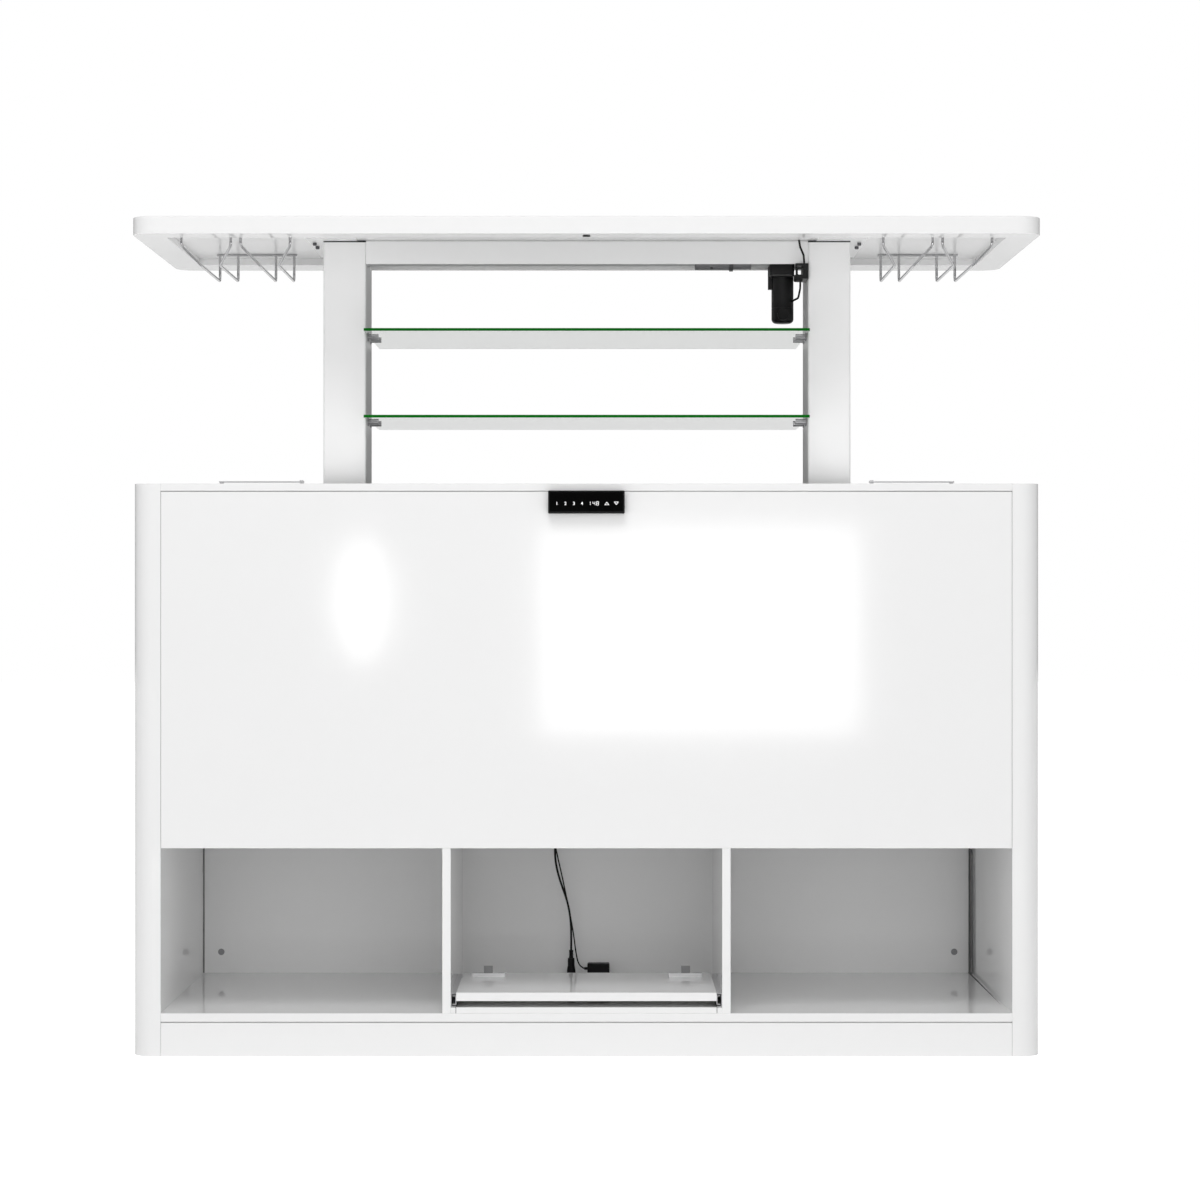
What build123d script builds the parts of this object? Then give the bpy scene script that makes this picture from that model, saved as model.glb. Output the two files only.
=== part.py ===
"""A motorised lift-top bar cabinet, raised, seen by its user from the service side.

Millimetres, +Z up. X runs along the counter, +Y points to the customer side, the origin is on the floor under
the middle of the whole cabinet. "Depth" is a distance behind the service face, which is the side with the open
cubbies and the handset. "Drop" is a distance below the ceiling of the counter top's recess.
"""

import os
from math import cos, pi, radians, tan

from build123d import *

os.makedirs("parts", exist_ok=True)

# Carcass
CABINET_WIDTH = 1600.0
CABINET_DEPTH = 600.0
CABINET_HEIGHT = 1009.0
END_PANEL = 50.0
END_CORNER_RADIUS = 35.0
BOARD = 15.0
BOARD_EDGE_RADIUS = 1.0
REVEAL = 0.5

# Plinth and cubbies
PLINTH_HEIGHT = 61.0
PLINTH_GROOVE = 2.0
PLINTH_GROOVE_DEPTH = 6.0
CUBBY_HEIGHT = 290.5
MIDDLE_BAY_WIDTH = 478.0
MIDDLE_BAY_DEPTH = 465.0
SIDE_BACK = 4.0
SIDE_BACK_SLOT = 5.0
CAM_COVER_DIAMETER = 12.5
CAM_COVER_THICKNESS = 1.2
CAM_COVER_INSET = 34.5
CAM_COVER_HEIGHT = 41.0

# Top board and the rail behind the shadow groove
TOP_BOARD = 13.0
TOP_GROOVE = 1.2
TOP_RAIL = 18.0
TOP_RAIL_HEIGHT = 60.0
WELL_CLEARANCE = 8.0
WELL_CORNER_RADIUS = 6.0

# Rub strips on studs over the top board, in front of the rack wells
STRIP_LENGTH = 152.0
STRIP_WIDTH = 10.0
STRIP_THICKNESS = 2.2
STRIP_GAP = 4.4
STRIP_STUD_DIAMETER = 7.0
STRIP_STUD_HEAD = 2.0
STRIP_END_INSET = 94.5
STRIP_WELL_GAP = 5.0

# Lift
TRAVEL = 438.0
BUMPER_HEIGHT = 1.7
BUMPER_DIAMETER = 14.0
BUMPER_CLEARANCE = 0.3

# Counter top
COUNTER_THICKNESS = 31.0
COUNTER_OVERHANG = 3.0
COUNTER_CORNER_RADIUS = 38.0
COUNTER_EDGE_RADIUS = 1.5
RECESS = 12.5
RIM_SERVICE = 61.0
RIM_SIDE = 56.0
RIM_CUSTOMER = 101.0

# Telescopic posts
POST_WIDTH = 78.0
POST_DEPTH = 143.0
POST_FRONT = 204.0
POST_WALL = 3.0
POST_CORNER_RADIUS = 4.0
POST_TOP_GAP = 1.8
POST_FOOT_CLEARANCE = 17.5
COLUMN_CLEARANCE = 3.0
COLUMN_WALL = 3.0
COLUMN_CAP = 6.0
FOOT_PLATE = 8.0
FOOT_PLATE_MARGIN = 18.0
FOOT_BOLT_DIAMETER = 9.0

# Mounting plates between the posts and the counter top
PLATE_THICKNESS = 1.5
PLATE_FRONT = 170.0
PLATE_BACK_GAP = 32.0
PLATE_OUTBOARD = 28.0
PLATE_INSET = 16.0
PLATE_SCREW_DIAMETER = 7.5
PLATE_SCREW_HEIGHT = 5.5
PLATE_SCREW_EDGE = 10.0
PLATE_SCREW_FRONT = 59.0
PLATE_SCREW_SPACING = 57.0

# Cross beam, an inverted channel with the drive shaft inside
BEAM_HEIGHT = 43.0
BEAM_DEPTH = 104.0
BEAM_FRONT = 206.0
BEAM_WALL = 3.0
BEAM_BEND = 4.0

# Drive shaft, coupling, bevel boxes and lead screws
SHAFT_DROP = 33.5
SHAFT_ACROSS_FLATS = 14.0
RUNNING_CLEARANCE = 0.3
COUPLING_DIAMETER = 30.5
COUPLING_LENGTH = 63.5
COLLAR_DIAMETER = 35.5
COLLAR_LENGTH = 6.5
SLEEVE_DIAMETER = 28.5
SLEEVE_LENGTH = 34.0
SLEEVE_MOTOR_GAP = 33.0
COUPLING_EDGE = 1.2
SET_SCREW_DIAMETER = 6.0
SET_SCREW_RECESS = 1.5
SET_SCREW_FROM_COLLAR = 33.0
BEVEL_BOX_GAP = 2.0
BEVEL_BOX_HEIGHT = 60.0
BEVEL_BOX_DEPTH = 49.0
SHAFT_ENGAGEMENT = 18.0
SHAFT_HOLE_DIAMETER = 24.0
SCREW_DIAMETER = 14.0
SCREW_ENGAGEMENT = 20.0
SCREW_TAIL = 15.0
SCREW_TIP = 2.0
NUT_DIAMETER = 26.0
NUT_LENGTH = 30.0
NUT_FLANGE_DIAMETER = 38.0
NUT_FLANGE = 6.0
NUT_CLEARANCE = 14.5

# Motor and its bracket
MOTOR_BOX_WIDTH = 45.0
MOTOR_BOX_HEIGHT = 58.0
MOTOR_BOX_DEPTH = 54.0
MOTOR_BOX_TOP_DROP = 5.5
MOTOR_BOX_EDGE = 4.0
MOTOR_FROM_POST = 23.0
CAN_DIAMETER = 40.5
CAN_LENGTH = 84.0
CAN_END_RADIUS = 8.0
CAN_OFFSET = 2.2
CAN_SEAM_HEIGHT = 28.0
CAN_SEAM = 0.8
CAN_CAP_DIAMETER = 21.0
CAN_CAP_REACH = 2.5
CAN_CAP_HEIGHT = 15.0
MOTOR_RIB_WIDTH = 9.0
MOTOR_RIB_REACH = 2.0
MOTOR_RIB_LENGTH = 42.0
BRACKET_HEIGHT = 28.0
BRACKET_DEPTH = 68.0
BRACKET_LEAD = 12.0
BRACKET_WALL = 4.0
BRACKET_LEG = 9.0
BRACKET_SLOT = 2.8
BRACKET_SLOT_DROP = 4.6
BRACKET_WINDOW = 10.0
BRACKET_WINDOW_DROP = 10.6
BRACKET_WINDOW_RADIUS = 2.0
GLAND_DIAMETER = 16.6
GLAND_HEIGHT = 12.3
GLAND_DROP = 21.0
GLAND_EDGE = 2.5
GLAND_FROM_POST = 18.0
LEAD_DIAMETER = 3.6
LEAD_BEND = 12.0
LEAD_SLANT = 10.0
LEAD_SWAY = 2.5
LEAD_ENTRY_DROP = 31.0
LEAD_ENTRY_DEPTH = 13.0

# Glass shelves and their clips
GLASS = 5.0
SHELF_FRONT = 121.0
SHELF_BACK_GAP = 85.0
SHELF_SIDE_GAP = 2.0
GLASS_CORNER_RADIUS = 3.0
UPPER_SHELF_DROP = 172.8
LOWER_SHELF_DROP = 329.0
CLIP_DISC_DIAMETER = 16.0
CLIP_DISC_THICKNESS = 1.7
CLIP_ARM_WIDTH = 8.0
CLIP_ARM_THICKNESS = 5.0
CLIP_ARM_LENGTH = 20.0
CLIP_DEPTHS = (247.0, 317.0)

# Stemware racks
WIRE_DIAMETER = 5.0
CROSS_BAR_DIAMETER = 4.0
CHANNEL_COUNT = 2
CHANNEL_PITCH = 106.3
RACK_END_GAP = 18.1
RACK_POST_GAP = 43.0
RACK_BACK_GAP = 72.0
CHANNEL_HALF_WIDTH = 17.3
MOUTH_HALF_WIDTH = 44.3
WIRE_DROP = 51.2
MOUTH_DROP = 22.8
MOUTH_FRONT = 90.0
RUN_FRONT = 158.0
CROSS_BAR_END = 6.0
WIRE_BEND = 10.0
MOUTH_BEND = 20.0

# Handset
HANDSET_WIDTH = 134.5
HANDSET_HEIGHT = 40.0
HANDSET_CASE = 16.0
HANDSET_FACE = 2.0
HANDSET_RADIUS = 2.0
HANDSET_BORDER = 2.5
HANDSET_FACE_RADIUS = 1.0

# Control box on the deck
CONTROL_BOX_LENGTH = 220.0
CONTROL_BOX_DEPTH = 110.0
CONTROL_BOX_HEIGHT = 52.0
CONTROL_BOX_START = 10.0
CONTROL_BOX_BACK_GAP = 75.0
CONTROL_BOX_RADIUS = 6.0

# Pull-out tray on mini ball-bearing slides, over a base board between them
TRAY_BASE = 10.5
TRAY_UNDER_GAP = 21.5
TRAY_END = 3.0
SLIDE_LENGTH = 280.0
SLIDE_THICKNESS = 9.5
SLIDE_SETBACK = 2.0
SLIDE_HEIGHT = 24.0
SLIDE_UNDER_GAP = 11.0
SLIDE_STEEL = 1.2
SLIDE_SIDE_CLEARANCE = 1.0
INNER_SLIDE_HEIGHT = 16.0
INNER_SLIDE_REACH = 6.5
TRAY_TRAVEL = 210.0
RETAINER_END_GAP = 5.0
RETAINER_WIDTH = 5.0
RETAINER_CLEARANCE = 0.3
BALL_COUNT = 6
STOP_SPACING = 362.0
STOP_BAR_LENGTH = 62.0
STOP_BAR_WIDTH = 8.0
STOP_BAR_HEIGHT = 7.0
STOP_BACK_INSET = 56.0
STOP_TAB_WIDTH = 16.0
STOP_TAB_THICKNESS = 4.0
STOP_HEIGHT = 20.0

# Cords that hang in the middle bay: points as (x, depth, height)
CORD_DIAMETER = 4.0
POWER_ROUTE = (
    (-61.5, 425.0, 363.5),
    (-62.2, 425.5, 334.0),
    (-60.4, 426.5, 301.0),
    (-51.6, 428.5, 268.0),
    (-38.6, 429.5, 233.0),
    (-32.0, 428.5, 199.0),
    (-30.6, 426.5, 167.0),
    (-30.9, 425.0, 138.5),
)
ADAPTER_LEAD_DIAMETER = 2.5
ADAPTER_ROUTE = (
    (-62.5, 412.0, 363.5),
    (-62.0, 412.3, 343.0),
    (-56.0, 413.2, 314.0),
    (-49.0, 414.4, 284.0),
    (-41.2, 415.4, 247.0),
    (-33.0, 415.7, 208.0),
    (-26.6, 415.2, 172.0),
    (-22.8, 414.2, 142.0),
    (-18.8, 413.5, 118.0),
    (-12.2, 413.1, 107.6),
    (-6.0, 413.0, 105.0),
)
RUN_SHARE = 0.45
GROMMET_DIAMETER = 40.0
GROMMET_FLANGE = 3.0
GROMMET_WALL = 4.0

# Plug on the power cord
RELIEF_LENGTH = 15.2
RELIEF_DIAMETER = 8.0
RELIEF_RIB = 1.9
RELIEF_GROOVE = 0.9
PLUG_BODY_LENGTH = 28.0
PLUG_NECK_DIAMETER = 12.4
PLUG_BODY_DIAMETER = 13.0
PLUG_BASE_DIAMETER = 16.0
PLUG_BASE_HEIGHT = 5.0
PLUG_FLARE_LENGTH = 9.0
PRONG_LENGTH = 18.0
PRONG_DIAMETER = 4.0
PRONG_SPACING = 9.0

# Adapter box on the floor of the middle bay
ADAPTER_LENGTH = 42.0
ADAPTER_DEPTH = 26.0
ADAPTER_HEIGHT = 39.5
ADAPTER_RADIUS = 3.0
ADAPTER_RELIEF_DIAMETER = 5.0
ADAPTER_RELIEF_LENGTH = 6.0

# One overrun for every cut that goes right through
OVERRUN = 5.0

# Places worked out from the sizes
counter_front = -COUNTER_OVERHANG
counter_back = CABINET_DEPTH + COUNTER_OVERHANG
handset_front = -(HANDSET_CASE + HANDSET_FACE)
service_y = -(min(counter_front, handset_front) + counter_back) / 2
inner_half = CABINET_WIDTH / 2 - END_PANEL
panel_span = (-inner_half + REVEAL, inner_half - REVEAL)
middle_half = MIDDLE_BAY_WIDTH / 2
cubby_floor = PLINTH_HEIGHT + BOARD
cubby_ceiling = cubby_floor + CUBBY_HEIGHT
deck_top = cubby_ceiling + BOARD
back_inside = CABINET_DEPTH - BOARD
top_board_bottom = CABINET_HEIGHT - TOP_BOARD
rim_bottom = CABINET_HEIGHT + BUMPER_HEIGHT + BUMPER_CLEARANCE + TRAVEL
ceiling = rim_bottom + RECESS
counter_face = rim_bottom + COUNTER_THICKNESS
recess_back = counter_back - RIM_CUSTOMER
wire_radius = WIRE_DIAMETER / 2
rack_outer = inner_half - RACK_END_GAP
last_channel = rack_outer - CROSS_BAR_END - MOUTH_HALF_WIDTH
channel_centres = [last_channel - n * CHANNEL_PITCH for n in range(CHANNEL_COUNT)]
rack_inner = channel_centres[-1] - MOUTH_HALF_WIDTH - CROSS_BAR_END
run_back = recess_back - RACK_BACK_GAP
rack_well_front = MOUTH_FRONT - wire_radius - WELL_CLEARANCE
post_top = ceiling - PLATE_THICKNESS
post_outer = rack_inner - RACK_POST_GAP
post_inner = post_outer - POST_WIDTH
post_centre = post_inner + POST_WIDTH / 2
post_middle = POST_FRONT + POST_DEPTH / 2
post_bottom = deck_top + FOOT_PLATE + POST_FOOT_CLEARANCE + TRAVEL
plate_back = recess_back - PLATE_BACK_GAP
shelf_back = CABINET_DEPTH - SHELF_BACK_GAP
beam_bottom = ceiling - BEAM_HEIGHT
shaft_depth = BEAM_FRONT + BEAM_DEPTH / 2
shaft_height = ceiling - SHAFT_DROP
shaft_across_corners = SHAFT_ACROSS_FLATS / cos(radians(30))
bevel_box_bottom = post_top - BEVEL_BOX_HEIGHT
bevel_box_inner = post_inner + POST_WALL + BEVEL_BOX_GAP
column_top = bevel_box_bottom - TRAVEL - NUT_CLEARANCE - NUT_FLANGE
motor_right = post_inner - MOTOR_FROM_POST
motor_left = motor_right - MOTOR_BOX_WIDTH
can_centre = (motor_left + motor_right) / 2 + CAN_OFFSET
sleeve_end = motor_left - SLEEVE_MOTOR_GAP
collar_end = sleeve_end - SLEEVE_LENGTH
coupling_end = collar_end - COLLAR_LENGTH
motor_box_top = ceiling - MOTOR_BOX_TOP_DROP
motor_box_bottom = motor_box_top - MOTOR_BOX_HEIGHT
can_bottom = motor_box_bottom - CAN_LENGTH
bracket_front = BEAM_FRONT - BRACKET_LEAD
bracket_bottom = beam_bottom - BRACKET_HEIGHT
gland_x = post_inner - GLAND_FROM_POST
gland_depth = bracket_front + GLAND_DIAMETER / 2
gland_bottom = beam_bottom - GLAND_DROP - GLAND_HEIGHT
tray_half = middle_half - SLIDE_THICKNESS
tray_depth = SLIDE_SETBACK + SLIDE_LENGTH + TRAY_END
tray_bottom = cubby_floor + TRAY_UNDER_GAP
tray_top = tray_bottom + BOARD
slide_bottom = cubby_floor + SLIDE_UNDER_GAP
slide_top = slide_bottom + SLIDE_HEIGHT
slide_middle = (slide_bottom + slide_top) / 2
grommet_x = (POWER_ROUTE[0][0] + ADAPTER_ROUTE[0][0]) / 2
grommet_depth = (POWER_ROUTE[0][1] + ADAPTER_ROUTE[0][1]) / 2
SIDES = {"left": -1, "right": 1}


def at_depth(depth):
    """The Y of a distance behind the service face."""
    return service_y + depth


def block(x_range, depth_range, height_range):
    """A square-edged board or bar between three pairs of planes."""
    (x0, x1), (d0, d1), (z0, z1) = (sorted(r) for r in (x_range, depth_range, height_range))
    centre = ((x0 + x1) / 2, at_depth((d0 + d1) / 2), (z0 + z1) / 2)
    return Pos(*centre) * Box(x1 - x0, d1 - d0, z1 - z0)


def post(x, depth, diameter, height_range):
    """An upright round bar or bore."""
    low, high = sorted(height_range)
    return Pos(x, at_depth(depth), (low + high) / 2) * Cylinder(diameter / 2, high - low)


def along_x(diameter, x_range, depth, height):
    """A round bar or bore that lies along X."""
    low, high = sorted(x_range)
    return Pos((low + high) / 2, at_depth(depth), height) * Rot(0, 90, 0) * Cylinder(diameter / 2, high - low)


def along_depth(diameter, x, depth_range, height):
    """A round bar or bore that lies along Y."""
    low, high = sorted(depth_range)
    return Pos(x, at_depth((low + high) / 2), height) * Rot(90, 0, 0) * Cylinder(diameter / 2, high - low)


def mirrored(shape, side):
    """The piece as drawn on the right, or its mirror image on the left."""
    return shape if side > 0 else mirror(shape, about=Plane.YZ)


def eased(shape, radius=BOARD_EDGE_RADIUS):
    """A board with its front edges along X and Z slightly rounded, as lacquered boards are."""
    front = shape.faces().sort_by(Axis.Y)[0]
    return fillet(front.edges(), radius)


def tube(points, diameter, radii):
    """A round wire or cord along straight runs that are joined by tangent arcs."""
    path = FilletPolyline(*points, radius=radii)
    start = Plane(origin=path @ 0, z_dir=path % 0)
    return sweep(start * Circle(diameter / 2), path=path), path.length


def cord(name, route, diameter):
    """A hanging cord's tube, each arc as large as its two runs allow."""
    points = [Vector(x, at_depth(d), z) for x, d, z in route]
    runs = [b - a for a, b in zip(points, points[1:])]
    radii = [
        RUN_SHARE * min(a.length, b.length) / tan(radians(a.get_angle(b)) / 2)
        for a, b in zip(runs, runs[1:])
    ]
    solid, length = tube(points, diameter, radii)
    expected = pi * (diameter / 2) ** 2 * length
    print(name, "length", round(length, 1), "radii", [round(r) for r in radii])
    print(name, "volume over section times length", round(solid.volume / expected, 4))
    return solid


def end_panel(side):
    """Full-height end, its two outer corners rounded in plan."""
    panel = block((inner_half, CABINET_WIDTH / 2), (0, CABINET_DEPTH), (0, CABINET_HEIGHT))
    outer = panel.edges().filter_by(Axis.Z).group_by(Axis.X)[-1]
    return mirrored(fillet(outer, END_CORNER_RADIUS), side)


def plinth(front, back, groove_from, groove_to):
    """Kickboard under the floor board, rebated at the top for the shadow groove."""
    board = block(panel_span, (front, back), (0, PLINTH_HEIGHT))
    groove = block(
        (-inner_half - OVERRUN, inner_half + OVERRUN),
        (groove_from, groove_to),
        (PLINTH_HEIGHT - PLINTH_GROOVE, PLINTH_HEIGHT + OVERRUN),
    )
    return board - groove


def side_back(side):
    """Thin back of a side cubby. The right one stops short of the end panel and leaves a slot."""
    slot = SIDE_BACK_SLOT if side > 0 else 0
    panel = block(
        (middle_half + BOARD, inner_half - slot),
        (back_inside - SIDE_BACK, back_inside),
        (cubby_floor, cubby_ceiling),
    )
    return mirrored(panel, side)


def cam_covers():
    """Push-in covers over the fittings in the cubby backs."""
    front = back_inside - SIDE_BACK
    cover = along_depth(
        CAM_COVER_DIAMETER,
        inner_half - CAM_COVER_INSET,
        (front - CAM_COVER_THICKNESS, front),
        cubby_floor + CAM_COVER_HEIGHT,
    )
    cover = fillet(cover.edges().group_by(Axis.Y)[0], CAM_COVER_THICKNESS / 2)
    return Compound([mirrored(cover, side) for side in SIDES.values()])


def well(x_range, depth_range):
    """A rounded cut-out through the top board."""
    cut = block(x_range, depth_range, (top_board_bottom - OVERRUN, CABINET_HEIGHT + OVERRUN))
    return fillet(cut.edges().filter_by(Axis.Z), WELL_CORNER_RADIUS)


def top_board():
    """Cabinet top, cut out so that the shelves, posts and hanging glasses sink into the cabinet."""
    board = eased(block((-inner_half, inner_half), (0, CABINET_DEPTH), (top_board_bottom, CABINET_HEIGHT)))
    shelf_well = well(
        (-post_outer - WELL_CLEARANCE, post_outer + WELL_CLEARANCE),
        (SHELF_FRONT - WELL_CLEARANCE, shelf_back + WELL_CLEARANCE),
    )
    rack_well = well(
        (rack_inner - WELL_CLEARANCE, rack_outer + WELL_CLEARANCE),
        (rack_well_front, run_back + wire_radius + WELL_CLEARANCE),
    )
    return board - shelf_well - rack_well - mirror(rack_well, about=Plane.YZ)


def rub_strip(side):
    """Thin steel strip on two studs. The inner stud goes through it and ends in a rounded head."""
    outer = inner_half - STRIP_END_INSET
    back = rack_well_front - STRIP_WELL_GAP
    inner = outer - STRIP_LENGTH
    low = CABINET_HEIGHT + STRIP_GAP
    high = low + STRIP_THICKNESS
    bar = block((inner, outer), (back - STRIP_WIDTH, back), (low, high))
    bar = fillet(bar.edges().filter_by(Axis.Z), STRIP_WIDTH / 3)
    middle = back - STRIP_WIDTH / 2
    foot = post(outer - STRIP_WIDTH / 2, middle, STRIP_STUD_DIAMETER, (CABINET_HEIGHT, low))
    stud = post(inner + STRIP_WIDTH / 2, middle, STRIP_STUD_DIAMETER, (CABINET_HEIGHT, high + STRIP_STUD_HEAD))
    stud = fillet(stud.edges().group_by(Axis.Z)[-1], STRIP_STUD_HEAD / 2)
    return mirrored(bar + foot + stud, side)


def counter_top():
    """Thick-edged top with a shallow recess under it that leaves a rim all round."""
    half = CABINET_WIDTH / 2 + COUNTER_OVERHANG
    slab = block((-half, half), (counter_front, counter_back), (rim_bottom, counter_face))
    slab = fillet(slab.edges().filter_by(Axis.Z), COUNTER_CORNER_RADIUS)
    rims = slab.faces().filter_by(Axis.Z)
    slab = fillet([e for f in rims for e in f.edges()], COUNTER_EDGE_RADIUS)
    recess = block(
        (-half + RIM_SIDE, half - RIM_SIDE),
        (counter_front + RIM_SERVICE, recess_back),
        (rim_bottom - OVERRUN, ceiling),
    )
    return slab - recess


def rectangular_tube(width, depth, wall, centre_depth, height_range, radius):
    """Upright tube round a post's centre line, on the right."""
    low, high = height_range
    outline = RectangleRounded(width, depth, radius)
    hollow = RectangleRounded(width - 2 * wall, depth - 2 * wall, max(radius - wall, wall / 2))
    return Pos(post_centre, at_depth(centre_depth), low) * extrude(outline - hollow, high - low)


def post_cover(side):
    """Hollow outer post that slides over the fixed column. Its front wall stops short of the plate."""
    cover = rectangular_tube(
        POST_WIDTH, POST_DEPTH, POST_WALL, post_middle, (post_bottom, post_top), POST_CORNER_RADIUS
    )
    shaft_hole = along_x(
        SHAFT_HOLE_DIAMETER,
        (post_inner - OVERRUN, post_inner + POST_WALL + OVERRUN),
        shaft_depth,
        shaft_height,
    )
    top_gap = block(
        (post_inner - OVERRUN, post_outer + OVERRUN),
        (POST_FRONT - OVERRUN, POST_FRONT + POST_CORNER_RADIUS),
        (post_top - POST_TOP_GAP, post_top + OVERRUN),
    )
    return mirrored(cover - shaft_hole - top_gap, side)


def inner_column(side):
    """Fixed column on its foot plate, capped by the plate that carries the nut."""
    width = POST_WIDTH - 2 * (POST_WALL + COLUMN_CLEARANCE)
    depth = POST_DEPTH - 2 * (POST_WALL + COLUMN_CLEARANCE)
    column = rectangular_tube(
        width, depth, COLUMN_WALL, post_middle, (deck_top, column_top), POST_CORNER_RADIUS
    )
    cap = Pos(post_centre, at_depth(post_middle), column_top - COLUMN_CAP) * extrude(
        RectangleRounded(width, depth, POST_CORNER_RADIUS), COLUMN_CAP
    )
    foot_width = width + 2 * FOOT_PLATE_MARGIN
    foot_depth = depth + 2 * FOOT_PLATE_MARGIN
    foot = Pos(post_centre, at_depth(post_middle), deck_top) * extrude(
        RectangleRounded(foot_width, foot_depth, POST_CORNER_RADIUS), FOOT_PLATE
    )
    holes = [
        post(
            post_centre + sx * (width + FOOT_PLATE_MARGIN) / 2,
            post_middle + sy * (depth + FOOT_PLATE_MARGIN) / 2,
            FOOT_BOLT_DIAMETER,
            (deck_top - OVERRUN, deck_top + FOOT_PLATE + OVERRUN),
        )
        for sx in SIDES.values()
        for sy in SIDES.values()
    ]
    bore = post(
        post_centre, shaft_depth, NUT_DIAMETER, (column_top - COLUMN_CAP - OVERRUN, column_top + OVERRUN)
    )
    return mirrored(column + cap + foot - holes - bore, side)


def screw_nuts():
    """Flanged bronze nuts that stand on the column caps and hold the lead screws."""
    body = post(post_centre, shaft_depth, NUT_DIAMETER, (column_top - NUT_LENGTH, column_top))
    flange = post(post_centre, shaft_depth, NUT_FLANGE_DIAMETER, (column_top, column_top + NUT_FLANGE))
    bore = post(
        post_centre,
        shaft_depth,
        SCREW_DIAMETER + 2 * RUNNING_CLEARANCE,
        (column_top - NUT_LENGTH - OVERRUN, column_top + NUT_FLANGE + OVERRUN),
    )
    nut = body + flange - bore
    return Compound([mirrored(nut, side) for side in SIDES.values()])


def lead_screw(side):
    """Screw that hangs from the bevel box and always reaches through the nut."""
    low = column_top - NUT_LENGTH - SCREW_TAIL
    high = bevel_box_bottom + SCREW_ENGAGEMENT
    screw = post(post_centre, shaft_depth, SCREW_DIAMETER, (low, high))
    screw = chamfer(screw.edges().group_by(Axis.Z)[0], SCREW_TIP)
    return mirrored(screw, side)


def bevel_box(side):
    """Closed gearbox in the top of a post, with a blind bore for the shaft and one for the screw."""
    outer = 2 * post_centre - bevel_box_inner
    box = block(
        (bevel_box_inner, outer),
        (shaft_depth - BEVEL_BOX_DEPTH / 2, shaft_depth + BEVEL_BOX_DEPTH / 2),
        (bevel_box_bottom, post_top),
    )
    shaft_bore = along_x(
        shaft_across_corners + 2 * RUNNING_CLEARANCE,
        (bevel_box_inner - OVERRUN, bevel_box_inner + SHAFT_ENGAGEMENT + RUNNING_CLEARANCE),
        shaft_depth,
        shaft_height,
    )
    screw_bore = post(
        post_centre,
        shaft_depth,
        SCREW_DIAMETER + 2 * RUNNING_CLEARANCE,
        (bevel_box_bottom - OVERRUN, bevel_box_bottom + SCREW_ENGAGEMENT + RUNNING_CLEARANCE),
    )
    return mirrored(box - shaft_bore - screw_bore, side)


def drive_shaft():
    """Hexagonal cross shaft from one bevel box to the other."""
    reach = bevel_box_inner + SHAFT_ENGAGEMENT
    section = RegularPolygon(shaft_across_corners / 2, 6)
    return Pos(-reach, at_depth(shaft_depth), shaft_height) * Rot(0, 90, 0) * extrude(section, 2 * reach)


def shaft_coupling():
    """Turned coupling, collar and sleeve on the hexagonal shaft, with the recess of the set screw."""
    body = along_x(COUPLING_DIAMETER, (coupling_end - COUPLING_LENGTH, coupling_end), shaft_depth, shaft_height)
    body = chamfer(body.edges().group_by(Axis.X)[0], COUPLING_EDGE)
    collar = along_x(COLLAR_DIAMETER, (coupling_end, collar_end), shaft_depth, shaft_height)
    sleeve = along_x(SLEEVE_DIAMETER, (collar_end, sleeve_end), shaft_depth, shaft_height)
    sleeve = chamfer(sleeve.edges().group_by(Axis.X)[-1], COUPLING_EDGE)
    coupling_bottom = shaft_height - COUPLING_DIAMETER / 2
    screw_recess = post(
        coupling_end - SET_SCREW_FROM_COLLAR,
        shaft_depth,
        SET_SCREW_DIAMETER,
        (coupling_bottom - OVERRUN, coupling_bottom + SET_SCREW_RECESS),
    )
    return body + collar + sleeve - drive_shaft() - screw_recess


def cross_beam():
    """Inverted steel channel between the posts."""
    span = (-post_inner, post_inner)
    back = BEAM_FRONT + BEAM_DEPTH
    outside = block(span, (BEAM_FRONT, back), (beam_bottom, ceiling))
    outside = fillet(outside.edges().filter_by(Axis.X).group_by(Axis.Z)[-1], BEAM_BEND)
    inside = block(
        (-post_inner - OVERRUN, post_inner + OVERRUN),
        (BEAM_FRONT + BEAM_WALL, back - BEAM_WALL),
        (beam_bottom - OVERRUN, ceiling - BEAM_WALL),
    )
    return outside - inside


def mounting_plate(side):
    """Flat plate under the counter top that carries one post."""
    plate = block(
        (post_inner + PLATE_INSET, post_outer + PLATE_OUTBOARD),
        (PLATE_FRONT, plate_back),
        (post_top, ceiling),
    )
    return mirrored(plate, side)


def plate_screws():
    """Pan-head screws on the outer edge of each mounting plate, ahead of the post's middle."""
    x = post_outer + PLATE_OUTBOARD - PLATE_SCREW_EDGE
    first = PLATE_FRONT + PLATE_SCREW_FRONT
    heads = []
    for side in SIDES.values():
        for depth in (first, first + PLATE_SCREW_SPACING):
            head = post(
                x,
                depth,
                PLATE_SCREW_DIAMETER,
                (post_top - PLATE_SCREW_HEIGHT, post_top),
            )
            head = fillet(head.edges().group_by(Axis.Z)[0], PLATE_SCREW_HEIGHT / 3)
            heads.append(mirrored(head, side))
    return Compound(heads)


def bumpers():
    """Rubber buttons under the rim, where the closed top meets the cabinet."""
    rear_rim = counter_back - RIM_CUSTOMER / 2
    front_rim = counter_front + RIM_SERVICE / 2
    levels = (rim_bottom - BUMPER_HEIGHT, rim_bottom)
    return Compound([post(0, depth, BUMPER_DIAMETER, levels) for depth in (front_rim, rear_rim)])


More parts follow.
